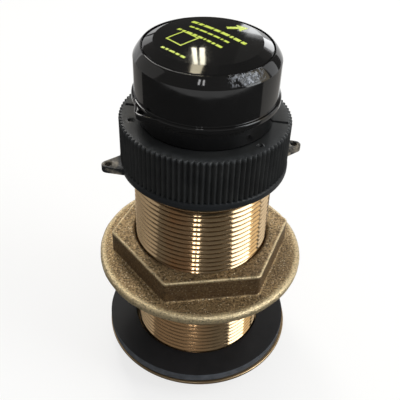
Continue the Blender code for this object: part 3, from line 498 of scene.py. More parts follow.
def turned_bronze():
    """Bright turned bronze with painted coppery reflections, dirt and painted shade in the
    thread's roots, and a duller flange.
    """
    finish, tree, shader = new_finish("turned_bronze", 0.14, metallic=0.96)
    patches = remap(tree, mottle(tree, 0.016, detail=5.0), 0.35, 0.70)
    colour = mix_colours(tree, patches, FRESH_BRONZE, DULL_BRONZE)
    height = height_on_piece(tree)
    on_stem = remap(tree, height, FLANGE_TOP, FLANGE_TOP + 0.0004)
    # Painted reflections: a ragged coppery streak on the stem's front left, brighter below the
    # nut.
    waver = mottle(tree, 0.014, detail=4.0, stretch=(1.0, 1.0, 0.5))
    ragged = remap(tree, waver, 0.38, 0.56, 0.35, 1.0)
    distance = from_axis(tree, COPPERY_REFLECTION_AT)
    near = remap(tree, distance, COPPERY_REFLECTION_REACH, COPPERY_REFLECTION_REACH * 0.35)
    colour = mix_colours(tree, product(tree, near, ragged, on_stem), colour, COPPERY_REFLECTION)
    low = remap(tree, height, BRIGHT_REFLECTION_BELOW, BRIGHT_REFLECTION_BELOW - 0.003)
    wide = remap(tree, distance, COPPERY_REFLECTION_REACH * 2.0, COPPERY_REFLECTION_REACH)
    colour = mix_colours(tree, product(tree, low, wide, on_stem), colour, BRIGHT_COPPERY_REFLECTION)
    # The thread's roots are darkened: partly dirt, partly painted shade in the hollows.
    reach = from_axis(tree)
    in_thread = remap(tree, reach, THREAD_SHADE_OUTER, THREAD_SHADE_INNER)
    off_bore = remap(tree, reach, STEM_BORE + 0.0010, STEM_BORE + 0.0020)
    dirt_and_shade = product(tree, in_thread, off_bore, on_stem)
    smear = remap(tree, mottle(tree, 0.005, detail=4.0), 0.3, 0.7, 0.05, 0.12)
    duller = calculate(tree, "MAXIMUM", dirt_and_shade, calculate(tree, "SUBTRACT", 1.0, on_stem))
    coat(tree, shader, mix_colours(tree, dirt_and_shade, colour, THREAD_DIRT_AND_SHADE),
         calculate(tree, "ADD", smear, product(tree, duller, 0.25)))
    roughen(tree, shader, mottle(tree, 0.0030, detail=2.0), 0.000006)
    return finish


make_piece("housing_threaded", [thread_surface(), flange_and_bore()], turned_bronze(), "housing",
           ["housing"], sharp=50.0)


# Hull washer: a flat ring cut from black sheet rubber. It lies loose on the flange, a little
# off centre, and seals the flange against the hull. Its cut edge is greyer than its faces.

WASHER_RADIUS = 0.0373
WASHER_BORE = 0.0263
WASHER_THICKNESS = 0.0036
WASHER_EDGE = 0.00025
WASHER_SHIFT = Vector((-0.0004, 0.0002, 0.0))
WASHER_WAVER = 0.00006
WASHER_CELL = 0.0015
WASHER_STEPS = 180
RUBBER = (0.006, 0.006, 0.007)
RUBBER_BLOOM = (0.013, 0.013, 0.015)
CUT_EDGE = (0.038, 0.043, 0.050)
CUT_EDGE_BLOOM = (0.074, 0.083, 0.098)


def divided(outline, longest):
    """The closed outline with its long sides cut into pieces no longer than longest."""
    points = []
    for index, corner in enumerate(outline):
        first, second = Vector(corner), Vector(outline[(index + 1) % len(outline)])
        parts = max(1, math.ceil((second - first).length / longest))
        points += [tuple(first.lerp(second, part / parts)) for part in range(parts)]
    return points


def washer_rings():
    """Rings of the washer, whose cut edge wavers a little."""
    outline = softened([
        (WASHER_BORE, 0.0, WASHER_EDGE),
        (WASHER_RADIUS, 0.0, WASHER_EDGE),
        (WASHER_RADIUS, -WASHER_THICKNESS, WASHER_EDGE),
        (WASHER_BORE, -WASHER_THICKNESS, WASHER_EDGE),
    ])

    def waver(point):
        def ring(angle):
            at = Vector((math.cos(angle), math.sin(angle), point[1] * 300)) * 4
            return point[0] - WASHER_WAVER * abs(noise.noise(at)), point[1]
        return ring

    rings = [waver(point) for point in divided(outline, WASHER_CELL)]
    vertices, faces = spin_rings(rings, WASHER_STEPS)
    return [tuple(Vector(vertex) + WASHER_SHIFT) for vertex in vertices], faces


def washer_rubber():
    finish, tree, shader = new_finish("washer_rubber", 0.62, specular=0.35)
    facing = add_node(tree, "NewGeometry").outputs["Normal"]
    upward = add_node(tree, "SeparateXYZ", facing).outputs["Z"]
    edge = remap(tree, calculate(tree, "ABSOLUTE", upward), 0.75, 0.35)
    face = mix_colours(tree, mottle(tree, 0.006), RUBBER, RUBBER_BLOOM)
    bloom = remap(tree, mottle(tree, 0.003, detail=5.0), 0.30, 0.70)
    cut_edge = mix_colours(tree, bloom, CUT_EDGE, CUT_EDGE_BLOOM)
    coat(tree, shader, mix_colours(tree, edge, face, cut_edge))
    knife = mottle(tree, 0.0005, stretch=(0.25, 0.25, 1.6))
    roughen(tree, shader, knife, 0.00005)
    return finish


make_piece("hull_washer_ring", [washer_rings()], washer_rubber(), "housing",
           ["hull_washer"])


# Hull nut: a rounded hexagon on a round flange, sand-cast in bronze and threaded. Only its
# bore is machined, so sand shows all over it. Handling has worn its edges bright, and a painted
# highlight brightens them further, most at the front of the rim. Its steep faces carry painted
# shade, and painted glints are scattered over it.

NUT_BOTTOM = 0.0336
NUT_TOP = 0.0462
NUT_FLANGE_TOP = 0.0368
NUT_BORE = 0.0257
NUT_MOUTH = 0.0009
NUT_HALF_FLATS = 0.0304
NUT_CORNER_RADIUS = 0.0015
NUT_TOP_EDGE = 0.0006
NUT_ROOT_FILLET = 0.0008
NUT_CORNER_ANGLE = math.radians(9.5)
NUT_FLANGE_RADIUS = 0.04005
NUT_FLANGE_ROUND = 0.0015
NUT_LOWER_EDGE = 0.0006
NUT_STEPS = 360
# Width and depth of the lumps that the sand left
CAST_LUMPS = ((0.0052, 0.00010), (0.0017, 0.00006), (0.0008, 0.00004))
# Wear by handling, brightened further as a painted highlight: its strength along the hexagon's
# top edge, how far in from that edge and from the flange's rim it is strongest and how far it
# reaches, and its share at the rear of the rim, which is brightest at the front
EDGE_WEAR_AND_SHEEN = 1.1
EDGE_BAND_IN = 0.0003
EDGE_BAND_REACH = 0.0007
RIM_BAND_IN = 0.0013
RIM_BAND_REACH = 0.0014
REAR_RIM_SHARE = 0.55
SANDY_BRONZE = (0.60, 0.43, 0.225)
DARK_SANDY_BRONZE = (0.39, 0.275, 0.145)
SAND_PITS = (0.12, 0.085, 0.05)
# Painted shade on the steep faces: the hexagon's sides, the rim's side and the bore
SIDE_SHADE = (0.13, 0.085, 0.050)
# Painted glints: bright specks of colour that stand in for sparkle, fewer on steep faces
PAINTED_GLINTS = (0.98, 0.85, 0.60)
# Worn bronze, brighter than the wear alone as a painted highlight
WORN_BRONZE_AND_SHEEN = (0.97, 0.80, 0.50)


def hexagon_radius(angle, inset):
    """Distance from the axis to the rounded hexagon's side, drawn in by inset."""
    half_flats = NUT_HALF_FLATS - inset
    corner = NUT_CORNER_RADIUS - inset
    off_corner = (angle - NUT_CORNER_ANGLE + math.pi / 6) % (math.pi / 3) - math.pi / 6
    centre = (half_flats - corner) / math.cos(math.pi / 6)
    tangent = math.atan2(corner / 2, centre + corner * math.cos(math.pi / 6))
    if abs(off_corner) < tangent:
        across = centre * math.sin(off_corner)
        return centre * math.cos(off_corner) + math.sqrt(corner ** 2 - across ** 2)
    return half_flats / math.cos(math.pi / 6 - abs(off_corner))


def quarter_turn(steps):
    """Shares of a rounded edge, 1 less the cosine and 1 less the sine at each step."""
    for step in range(1, steps + 1):
        sweep = math.pi / 2 * step / steps
        yield 1 - math.cos(sweep), 1 - math.sin(sweep)


def nut_rings():
    """Rings from the bore over the top and down to the underside."""
    def hexagonal(inset, height):
        return lambda angle: (hexagon_radius(angle, inset), height)

    def between(low_radius, inset, share, height):
        def ring(angle):
            outer = hexagon_radius(angle, inset)
            return low_radius + (outer - low_radius) * share, height
        return ring

    rings = []
    bore_low, bore_high = NUT_BOTTOM + NUT_MOUTH, NUT_TOP - NUT_MOUTH
    for step in range(9):
        rings.append((NUT_BORE, bore_low + (bore_high - bore_low) * step / 8))
    for step in range(12):
        rings.append(between(NUT_BORE + NUT_MOUTH, NUT_TOP_EDGE, step / 11, NUT_TOP))
    for over, down in quarter_turn(5):
        rings.append(hexagonal(NUT_TOP_EDGE * down, NUT_TOP - NUT_TOP_EDGE * over))
    side_low, side_high = NUT_FLANGE_TOP + NUT_ROOT_FILLET, NUT_TOP - NUT_TOP_EDGE
    for step in range(1, 13):
        rings.append(hexagonal(0.0, side_high + (side_low - side_high) * step / 12))
    for over, down in quarter_turn(4):
        rings.append(hexagonal(-NUT_ROOT_FILLET * over, NUT_FLANGE_TOP + NUT_ROOT_FILLET * down))
    shoulder = NUT_FLANGE_RADIUS - NUT_FLANGE_ROUND
    for step in range(1, 13):
        rings.append(between(shoulder, -NUT_ROOT_FILLET, 1 - step / 12, NUT_FLANGE_TOP))
    for over, down in quarter_turn(6):
        rings.append((NUT_FLANGE_RADIUS - NUT_FLANGE_ROUND * down,
                      NUT_FLANGE_TOP - NUT_FLANGE_ROUND * over))
    rings.append((NUT_FLANGE_RADIUS, NUT_BOTTOM + NUT_LOWER_EDGE))
    rings.append((NUT_FLANGE_RADIUS - NUT_LOWER_EDGE * 0.3, NUT_BOTTOM + NUT_LOWER_EDGE * 0.3))
    face_outer, face_inner = NUT_FLANGE_RADIUS - NUT_LOWER_EDGE, NUT_BORE + NUT_MOUTH
    for step in range(10):
        rings.append((face_outer + (face_inner - face_outer) * step / 9, NUT_BOTTOM))
    return rings


def nut_wear_and_sheen(at):
    """How bright wear and a painted highlight make a place on the nut, from its rounded edges."""
    radius = math.hypot(at.x, at.y)
    angle = math.atan2(at.y, at.x)
    side = hexagon_radius(angle, 0.0)
    off_edge = math.hypot(side - EDGE_BAND_IN - radius, NUT_TOP - EDGE_BAND_IN - at.z)
    top_edge = 1 - min(1.0, off_edge / EDGE_BAND_REACH)
    off_rim = max(0.0, NUT_FLANGE_RADIUS - RIM_BAND_IN - radius)
    rim = 1 - min(1.0, off_rim / RIM_BAND_REACH)
    # The rim's painted highlight is strongest at the front, and keeps a share at the rear.
    front = max(0.0, -math.sin(angle))
    return max(EDGE_WEAR_AND_SHEEN * top_edge, (REAR_RIM_SHARE + (1 - REAR_RIM_SHARE) * front) * rim)


def sand_cast(piece):
    """Push the skin in and out by the sand's lumps, and record its wear and painted highlight."""
    mesh = piece.data
    wear_and_sheen = mesh.attributes.new("wear_and_sheen", "FLOAT", "POINT")
    moved = []
    for vertex in mesh.vertices:
        at = vertex.co
        push = 0.0
        if math.hypot(at.x, at.y) > NUT_BORE + NUT_MOUTH and at.z > NUT_BOTTOM + 0.0001:
            for width, depth in CAST_LUMPS:
                push += depth * noise.noise(at / width)
        moved.append(at + vertex.normal * push)
        wear_and_sheen.data[vertex.index].value = nut_wear_and_sheen(at)
    for vertex, at in zip(mesh.vertices, moved):
        vertex.co = at


def pits(tree, across):
    """Distance to scattered points about across apart, near 0 at each point."""
    points = add_node(tree, "TexVoronoi", place_on_piece(tree))
    points.inputs["Scale"].default_value = 1.0 / across
    return points.outputs["Distance"]


def cast_bronze():
    finish, tree, shader = new_finish("cast_bronze", 0.50, metallic=0.86)
    wear_and_sheen = add_node(tree, "Attribute", attribute_name="wear_and_sheen").outputs["Fac"]
    patches = remap(tree, mottle(tree, 0.010, detail=5.0), 0.35, 0.68)
    colour = mix_colours(tree, patches, SANDY_BRONZE, DARK_SANDY_BRONZE)
    grains = mottle(tree, 0.00075, detail=4.0, rough=0.65)
    colour = mix_colours(tree, remap(tree, grains, 0.38, 0.58), SAND_PITS, colour)
    facing = add_node(tree, "SeparateXYZ", add_node(tree, "NewGeometry").outputs["Normal"])
    steep = remap(tree, calculate(tree, "ABSOLUTE", facing.outputs["Z"]), 0.60, 0.30)
    off_wear_and_sheen = calculate(tree, "SUBTRACT", 1.0, calculate(tree, "MINIMUM", wear_and_sheen, 1.0))
    # Painted shade: steep faces darkened where there is no wear or painted highlight.
    colour = mix_colours(tree, product(tree, steep, off_wear_and_sheen, 0.72), colour, SIDE_SHADE)
    # Painted glints: scattered specks painted bright, more on flat faces than on steep ones.
    specks = remap(tree, pits(tree, 0.0012), 0.24, 0.14)
    painted_glints = product(tree, specks, remap(tree, steep, 0.0, 1.0, 0.8, 0.25))
    colour = mix_colours(tree, painted_glints, colour, PAINTED_GLINTS)
    # Worn places, brightened further with a painted highlight.
    scraped_and_sheen = product(tree, wear_and_sheen, remap(tree, grains, 0.34, 0.50, 0.40, 1.0))
    coat(tree, shader, mix_colours(tree, scraped_and_sheen, colour, WORN_BRONZE_AND_SHEEN),
         remap(tree, scraped_and_sheen, 0.0, 1.0, 0.50, 0.29))
    sand = roughen(tree, shader, mottle(tree, 0.0009, detail=5.0, rough=0.7), 0.00040)
    roughen(tree, shader, remap(tree, pits(tree, 0.0021), 0.10, 0.34), 0.00012, before=sand)
    return finish


nut_shape = spin_rings(nut_rings(), NUT_STEPS)
hull_nut = make_piece("hull_nut_cast", [nut_shape], cast_bronze(), "hull_nut",
                      ["hull_nut"], sharp=60.0)
sand_cast(hull_nut)


# Cap nut: a matt black moulded ring with ninety-six knurls above a plain band. Its inward lip
# holds the insert down, and its two drilled ears take a safety wire. Moulding left three small
# gate marks on its top, and two slots are cut across it.

CAP_NUT_BOTTOM = 0.0779
CAP_NUT_TOP = 0.0973
CAP_THREAD_BORE = 0.0257
CAP_THREAD_MOUTH = 0.0012
LIP_BORE = 0.0229
LIP_BOTTOM = 0.0933
LIP_EDGE = 0.0003
LIP_FACE = 0.0015
KNURL_COUNT = 96
KNURL_POINTS = 6
KNURL_RADIUS = 0.0299
KNURL_DEPTH = 0.0010
BAND_RADIUS = 0.0301
BAND_TOP = 0.0809
BAND_ROUND = 0.0009
TOP_EDGE = 0.0004
EAR_ANGLE = math.radians(14.6)
EAR_REACH = 0.0369
EAR_ROOT = 0.0275
EAR_ROOT_HALF_WIDTH = 0.0056
EAR_TIP_RADIUS = 0.0022
EAR_BOTTOM = 0.0780
EAR_TOP = 0.0806
EAR_HOLE_RADIUS = 0.0012
EAR_HOLE_AT = 0.0343
EAR_EDGE = 0.00035
SLOT_ANGLE = EAR_ANGLE - math.radians(23.0)
SLOT_HALF_WIDTH = 0.0006
SLOT_DEPTH = 0.0008
SLOT_OUTER = 0.0283
GATE_ANGLE = math.radians(74.0)
GATE_CIRCLE = 0.0259
GATE_RADIUS = 0.0009
GATE_DEPTH = 0.0007
GATE_LIP = 0.00012
MOULDED_BLACK = (0.0165, 0.0175, 0.0180)
MOULDED_HAZE = (0.0250, 0.0262, 0.0262)
BAND_BLACK = (0.012, 0.0138, 0.0160)
EAR_DIRT = (0.24, 0.21, 0.165)
RUBBED_GREY = (0.060, 0.064, 0.068)
RUBBED_DOWN = 0.0012
RUBBED_FROM = 0.0262
RUBBED_TO = 0.0296


def knurl(angle):
    """Radius of the knurled wall: rounded teeth with narrower valleys."""
    share = angle * KNURL_COUNT / math.tau % 1.0
    valley = (0.5 - 0.5 * math.cos(math.tau * share)) ** 1.25
    return KNURL_RADIUS - KNURL_DEPTH * valley


def band(height):
    """Radius of the plain band, whose upper edge is rounded."""
    up = height - (BAND_TOP - BAND_ROUND)
    if up <= 0:
        return BAND_RADIUS
    return BAND_RADIUS - BAND_ROUND + math.sqrt(max(0.0, BAND_ROUND ** 2 - up ** 2))


def top_mark(radius, angle):
    """How far the top face sinks at a slot or gate mark."""
    x, y = radius * math.cos(angle), radius * math.sin(angle)
    sink = 0.0
    for side in range(2):
        turn = SLOT_ANGLE + side * math.pi
        along = x * math.cos(turn) + y * math.sin(turn)
        across = abs(-x * math.sin(turn) + y * math.cos(turn))
        if along > 0 and across < SLOT_HALF_WIDTH and radius < SLOT_OUTER:
            sink = SLOT_DEPTH
    for gate in range(3):
        turn = GATE_ANGLE + gate * math.tau / 3
        away = math.hypot(x - GATE_CIRCLE * math.cos(turn), y - GATE_CIRCLE * math.sin(turn))
        if away < GATE_RADIUS:
            sink = GATE_DEPTH * min(1.0, 2.5 * (1 - away / GATE_RADIUS))
        elif away < GATE_RADIUS * 1.5:
            sink = -GATE_LIP
    return sink


def cap_nut_rings():
    rings = [(CAP_THREAD_BORE + CAP_THREAD_MOUTH, CAP_NUT_BOTTOM),
             (BAND_RADIUS - BAND_ROUND, CAP_NUT_BOTTOM)]
    for over, down in quarter_turn(4):
        rings.append((BAND_RADIUS - BAND_ROUND * down, CAP_NUT_BOTTOM + BAND_ROUND * over))
    for step in range(7):
        height = BAND_TOP - BAND_ROUND * (1 - math.sin(math.pi / 2 * step / 6))
        rings.append(lambda angle, height=height: (max(band(height), knurl(angle)), height))
    for step in range(11):
        height = BAND_TOP + (CAP_NUT_TOP - TOP_EDGE - BAND_TOP) * step / 10
        rings.append(lambda angle, height=height: (knurl(angle), height))
    for over, down in quarter_turn(3):
        rings.append(lambda angle, over=over, down=down: (
            knurl(angle) - TOP_EDGE * over, CAP_NUT_TOP - TOP_EDGE * down))
    outer = KNURL_RADIUS - KNURL_DEPTH - TOP_EDGE
    for step in range(20):
        radius = outer + (LIP_BORE + LIP_EDGE - outer) * step / 19
        rings.append(lambda angle, radius=radius: (radius, CAP_NUT_TOP - top_mark(radius, angle)))
    rings += [
        lambda angle: (LIP_BORE, CAP_NUT_TOP - LIP_EDGE - top_mark(LIP_BORE, angle)),
        (LIP_BORE, LIP_BOTTOM + LIP_FACE),
        (LIP_BORE, LIP_BOTTOM),
        (CAP_THREAD_BORE, LIP_BOTTOM),
        (CAP_THREAD_BORE, CAP_NUT_BOTTOM + CAP_THREAD_MOUTH),
    ]
    return rings


def drilled_plate(outline, hole_at, hole_radius, low, high, edge):
    """A flat plate with rounded edges and one round hole, as (vertices, faces)."""
    curve = bpy.data.curves.new("plate", "CURVE")
    curve.dimensions = "2D"
    curve.fill_mode = "BOTH"
    curve.extrude = (high - low) / 2 - edge
    curve.bevel_depth = edge
    curve.bevel_resolution = 2
    curve.offset = -edge
    hole = []
    for step in range(24):
        angle = math.tau * step / 24
        hole.append((hole_at[0] + hole_radius * math.cos(angle),
                     hole_at[1] + hole_radius * math.sin(angle)))
    for ring in (outline, hole):
        spline = curve.splines.new("POLY")
        spline.points.add(len(ring) - 1)
        spline.use_cyclic_u = True
        for point, (x, y) in zip(spline.points, ring):
            point.co = (x, y, 0, 1)
    holder = put_in_scene("plate", curve)
    bpy.context.view_layer.update()
    mesh = bpy.data.meshes.new_from_object(
        holder.evaluated_get(bpy.context.evaluated_depsgraph_get()))
    lift = (low + high) / 2
    vertices = [(vertex.co.x, vertex.co.y, vertex.co.z + lift) for vertex in mesh.vertices]
    faces = [tuple(face.vertices) for face in mesh.polygons]
    bpy.data.objects.remove(holder)
    bpy.data.meshes.remove(mesh)
    return vertices, faces


def turned(points, turn, middle=(0.0, 0.0)):
    """Points turned about the origin and then moved to a middle."""
    cosine, sine = math.cos(turn), math.sin(turn)
    return [(middle[0] + x * cosine - y * sine, middle[1] + x * sine + y * cosine)
            for x, y in points]


def tab(reach, tip_radius, half_width, root, turn, steps=14):
    """Outline of a tab from root to a round tip, turned about the axis."""
    centre = reach - tip_radius
    distance = math.hypot(centre - root, half_width)
    lean = math.atan2(half_width, centre - root) - math.asin(tip_radius / distance)
    tangent = math.pi / 2 - lean
    points = [(root, -half_width)]
    for step in range(steps + 1):
        angle = -tangent + 2 * tangent * step / steps
        points.append((centre + tip_radius * math.cos(angle), tip_radius * math.sin(angle)))
    points.append((root, half_width))
    return turned(points, turn)


def drilled_pair(turn, reach, tip_radius, half_width, root, hole_at, hole_radius, low, high, edge):
    """Two drilled tabs on opposite sides of the axis."""
    plates = []
    for angle in (turn, turn + math.pi):
        hole = turned([(hole_at, 0.0)], angle)[0]
        outline = tab(reach, tip_radius, half_width, root, angle)
        plates.append(drilled_plate(outline, hole, hole_radius, low, high, edge))
    return plates


def matt_black(name, handled=False):
    """Black moulding. A handled one is rubbed grey round its top and has dirt on its ears."""
    finish, tree, shader = new_finish(name, 0.40, specular=0.22)
    haze = remap(tree, mottle(tree, 0.007, detail=5.0), 0.40, 0.75)
    colour = mix_colours(tree, haze, MOULDED_BLACK, MOULDED_HAZE)
    if handled:
        height, reach = height_on_piece(tree), from_axis(tree)
        upper = remap(tree, height, CAP_NUT_TOP - RUBBED_DOWN, CAP_NUT_TOP)
        rim = remap(tree, reach, RUBBED_FROM, RUBBED_TO)
        dust = remap(tree, mottle(tree, 0.0016, detail=6.0, rough=0.7), 0.36, 0.66, 0.25, 1.0)
        colour = mix_colours(tree, product(tree, upper, rim, dust), colour, RUBBED_GREY)
        low = remap(tree, height, BAND_TOP + 0.0005, BAND_TOP - 0.0003)
        colour = mix_colours(tree, low, colour, BAND_BLACK)
        on_ear = remap(tree, reach, BAND_RADIUS + 0.0004, BAND_RADIUS + 0.0012)
        dirt = remap(tree, mottle(tree, 0.0024, detail=5.0), 0.40, 0.66)
        colour = mix_colours(tree, product(tree, on_ear, dirt), colour, EAR_DIRT)
    rough = remap(tree, mottle(tree, 0.0035, detail=5.0), 0.30, 0.70, 0.33, 0.50)
    coat(tree, shader, colour, rough)
    roughen(tree, shader, mottle(tree, 0.0005, detail=4.0), 0.00003)
    return finish


ring_shape = spin_rings(cap_nut_rings(), KNURL_COUNT * KNURL_POINTS)
ears = drilled_pair(EAR_ANGLE, EAR_REACH, EAR_TIP_RADIUS, EAR_ROOT_HALF_WIDTH, EAR_ROOT,
                    EAR_HOLE_AT, EAR_HOLE_RADIUS, EAR_BOTTOM, EAR_TOP, EAR_EDGE)
make_piece("cap_nut_knurled", [ring_shape, *ears], matt_black("cap_nut_black", handled=True),
           "cap_nut", ["cap_nut"], sharp=42.0)


# Insert cap: a glossy black moulded cup on the insert's spigot. A thin flange with two drilled
# lobes runs round its foot, and its rounded shoulder is scuffed where tools have knocked it.

CAP_BOTTOM = 0.0976
CAP_FLANGE_BOTTOM = 0.1045
CAP_FLANGE_TOP = 0.1068
CAP_SHOULDER_BOTTOM = 0.1194
CAP_SHOULDER_TOP = 0.1229
CAP_NECK_RADIUS = 0.0234
CAP_BORE = 0.0213
CAP_FLANGE_RADIUS = 0.0252
CAP_RADIUS = 0.0243
CAP_RIM_RADIUS = 0.0218
CAP_SEAT_RADIUS = 0.0215
CAP_CAVITY_RADIUS = 0.0205
CAP_STOP = 0.1043
CAP_SEAT = 0.1210
CAP_SHOULDER_FULLNESS = 1.15
CAP_STEPS = 192
LOBE_ANGLE = math.radians(39.0)
LOBE_REACH = 0.0281
LOBE_ROOT = 0.0238
LOBE_TIP_RADIUS = 0.0032
LOBE_HALF_WIDTH = 0.0072
LOBE_HOLE_RADIUS = 0.00115
LOBE_HOLE_AT = 0.0256
LOBE_STEP = 0.0001
LOBE_EDGE = 0.0004
GLAND_Z = 0.1110
GLAND_BOSS_RADIUS = 0.0054
GLAND_BOSS_BORE = 0.0044
GLAND_BOSS_START = 0.0225
GLAND_BOSS_END = 0.0262
GLOSS_BLACK = (0.0048, 0.0048, 0.0050)
GLOSS_HAZE = (0.0080, 0.0080, 0.0082)
SCUFF_GREY = (0.30, 0.32, 0.36)
SCUFF_AT = (0.0124, -0.0195, 0.1212)
SCUFF_REACH = 0.0072
SCUFF_LOW = 0.1198


def cap_outline():
    shoulder = []
    power = 2 / CAP_SHOULDER_FULLNESS
    inset = CAP_RADIUS - CAP_RIM_RADIUS
    rise = CAP_SHOULDER_TOP - CAP_SHOULDER_BOTTOM
    for step in range(15):
        sweep = math.pi / 2 * step / 14
        shoulder.append((CAP_RIM_RADIUS + inset * math.cos(sweep) ** power,
                         CAP_SHOULDER_BOTTOM + rise * math.sin(sweep) ** power, 0))
    return softened([
        (CAP_BORE, CAP_BOTTOM, 0.0002),
        (CAP_NECK_RADIUS, CAP_BOTTOM, 0.0003),
        (CAP_NECK_RADIUS, CAP_FLANGE_BOTTOM, 0.0004),
        (CAP_FLANGE_RADIUS, CAP_FLANGE_BOTTOM, 0.0007),
        (CAP_FLANGE_RADIUS, CAP_FLANGE_TOP, 0.0007),
        (CAP_RADIUS, CAP_FLANGE_TOP, 0.0003),
        *shoulder,
        (CAP_SEAT_RADIUS, CAP_SHOULDER_TOP, 0.0001),
        (CAP_SEAT_RADIUS, CAP_SEAT, 0),
        (CAP_CAVITY_RADIUS, CAP_SEAT, 0),
        (CAP_CAVITY_RADIUS, CAP_STOP, 0),
        (CAP_BORE, CAP_STOP, 0),
    ])


def turned_astern(rings, steps, height):
    """Rings round an axis that points astern, +Y, at a height."""
    vertices, faces = spin_rings(rings, steps)
    return [(x, z, height - y) for x, y, z in vertices], faces


def gloss_black(name, scuffed=False):
    """Polished black moulding. A scuffed one has grey knocks on its shoulder."""
    finish, tree, shader = new_finish(name, 0.07)
    colour = mix_colours(tree, mottle(tree, 0.012), GLOSS_BLACK, GLOSS_HAZE)
    smear = remap(tree, mottle(tree, 0.006, detail=5.0), 0.35, 0.70, 0.045, 0.10)
    if not scuffed:
        coat(tree, shader, colour, smear)
        roughen(tree, shader, mottle(tree, 0.010, detail=2.0), 0.00002)
        return finish
    away = add_node(tree, "VectorMath", place_on_piece(tree), SCUFF_AT, operation="DISTANCE")
    near = remap(tree, away.outputs["Value"], SCUFF_REACH, SCUFF_REACH * 0.3)
    above = remap(tree, height_on_piece(tree), SCUFF_LOW, SCUFF_LOW + 0.0006)
    knocks = mottle(tree, 0.0009, detail=6.0, rough=0.7, stretch=(1.0, 1.0, 0.6))
    scuff = product(tree, near, above, remap(tree, knocks, 0.49, 0.57))
    coat(tree, shader, mix_colours(tree, scuff, colour, SCUFF_GREY),
         calculate(tree, "ADD", smear, product(tree, scuff, 0.35)))
    wave = roughen(tree, shader, mottle(tree, 0.009, detail=2.0), 0.00003)
    roughen(tree, shader, scuff, 0.00012, before=wave)
    return finish


cup = spin_rings(cap_outline(), CAP_STEPS)
lobes = drilled_pair(LOBE_ANGLE, LOBE_REACH, LOBE_TIP_RADIUS, LOBE_HALF_WIDTH, LOBE_ROOT,
                     LOBE_HOLE_AT, LOBE_HOLE_RADIUS, CAP_FLANGE_BOTTOM + LOBE_STEP,
                     CAP_FLANGE_TOP - LOBE_STEP, LOBE_EDGE)
boss = turned_astern(softened([
    (GLAND_BOSS_BORE, GLAND_BOSS_START, 0),
    (GLAND_BOSS_RADIUS, GLAND_BOSS_START, 0),
    (GLAND_BOSS_RADIUS, GLAND_BOSS_END, 0.0005),
    (GLAND_BOSS_BORE, GLAND_BOSS_END, 0.0002),
]), 64, GLAND_Z)
make_piece("insert_cap_moulded", [cup, *lobes, boss], gloss_black("gloss_black_cup", scuffed=True),
           "insert", ["insert_cap"])


# Cap lid: a glossy domed disc moulded in black and bonded into the cup. Its straight slope meets
# the dome at a crease, and a thin dark seam shows all round it.

LID_BOTTOM = 0.1213
LID_RADIUS = 0.0212
LID_EDGE_TOP = 0.1227
LID_CREASE_RADIUS = 0.0178
LID_CREASE = 0.1244
LID_CROWN_RISE = 0.00116
LID_SKIN = 0.0018
LID_SKIRT = 0.0190
LID_EDGE = 0.0002


def lid_height(radius):
    """Height of the lid's upper face at a distance from the axis."""
    if radius <= LID_CREASE_RADIUS:
        return LID_CREASE + LID_CROWN_RISE * (1 - (radius / LID_CREASE_RADIUS) ** 2)
    outward = (radius - LID_CREASE_RADIUS) / (LID_RADIUS - LID_CREASE_RADIUS)
    return LID_CREASE - (LID_CREASE - LID_EDGE_TOP) * outward


def lid_outline():
    radii = [LID_CREASE_RADIUS * step / 24 for step in range(25)]
    slope = LID_RADIUS - LID_EDGE - LID_CREASE_RADIUS
    radii += [LID_CREASE_RADIUS + slope * step / 8 for step in range(1, 9)]
    return [(radius, lid_height(radius)) for radius in radii] + [
        (LID_RADIUS - LID_EDGE / 4, LID_EDGE_TOP),
        (LID_RADIUS, LID_EDGE_TOP - LID_EDGE),
        (LID_RADIUS, LID_BOTTOM),
        (LID_SKIRT, LID_BOTTOM),
        (LID_SKIRT, LID_EDGE_TOP - LID_EDGE),
        (LID_CREASE_RADIUS - LID_SKIN, LID_CREASE - LID_SKIN),
        (0.0, lid_height(0.0) - LID_SKIN),
    ]


lid_shape = spin_rings(lid_outline(), CAP_STEPS, closed=False)
make_piece("cap_lid_domed", [lid_shape], gloss_black("gloss_black_lid"), "insert",
           ["cap_lid"], sharp=14.0)


# Lid marks: a plain arrow that points ahead, four rows of plain dashes and an empty square,
# printed on the dome in yellow-green ink. They say nothing and only show how the print lies.

INK_PROUD = 0.00004
INK_DEPTH = 0.00008
INK_CELL = 0.0008
PRINT_TURN = math.radians(-43.0)
# Each row of dashes: its middle on the dome, its length, its dashes' height and their count
ROWS = (
    (0.0031, 0.0044, 0.0236, 0.0015, 8),
    (0.0001, 0.0021, 0.0172, 0.0010, 7),
    (-0.0029, -0.0007, 0.0194, 0.0011, 9),
    (-0.0107, -0.0104, 0.0104, 0.0009, 5),
)
DASH_GAP = 0.0006
DASH_SWING = 0.28
SQUARE_MIDDLE = Vector((-0.0083, -0.0015))
SQUARE_TURN = math.radians(-48.0)
SQUARE_HALF = 0.0038
SQUARE_LINE = 0.0005
ARROW_MIDDLE = Vector((0.0093, 0.0085))
ARROW_TURN = math.radians(12.0)
ARROW_LENGTH = 0.0071
ARROW_SHAFT = 0.0018
ARROW_HEAD = 0.0033
ARROW_HEAD_HALF_WIDTH = 0.0028
ARROW_BLUNT = 0.0001
FRESH_INK = (0.46, 0.56, 0.055)
PALE_INK = (0.62, 0.75, 0.10)


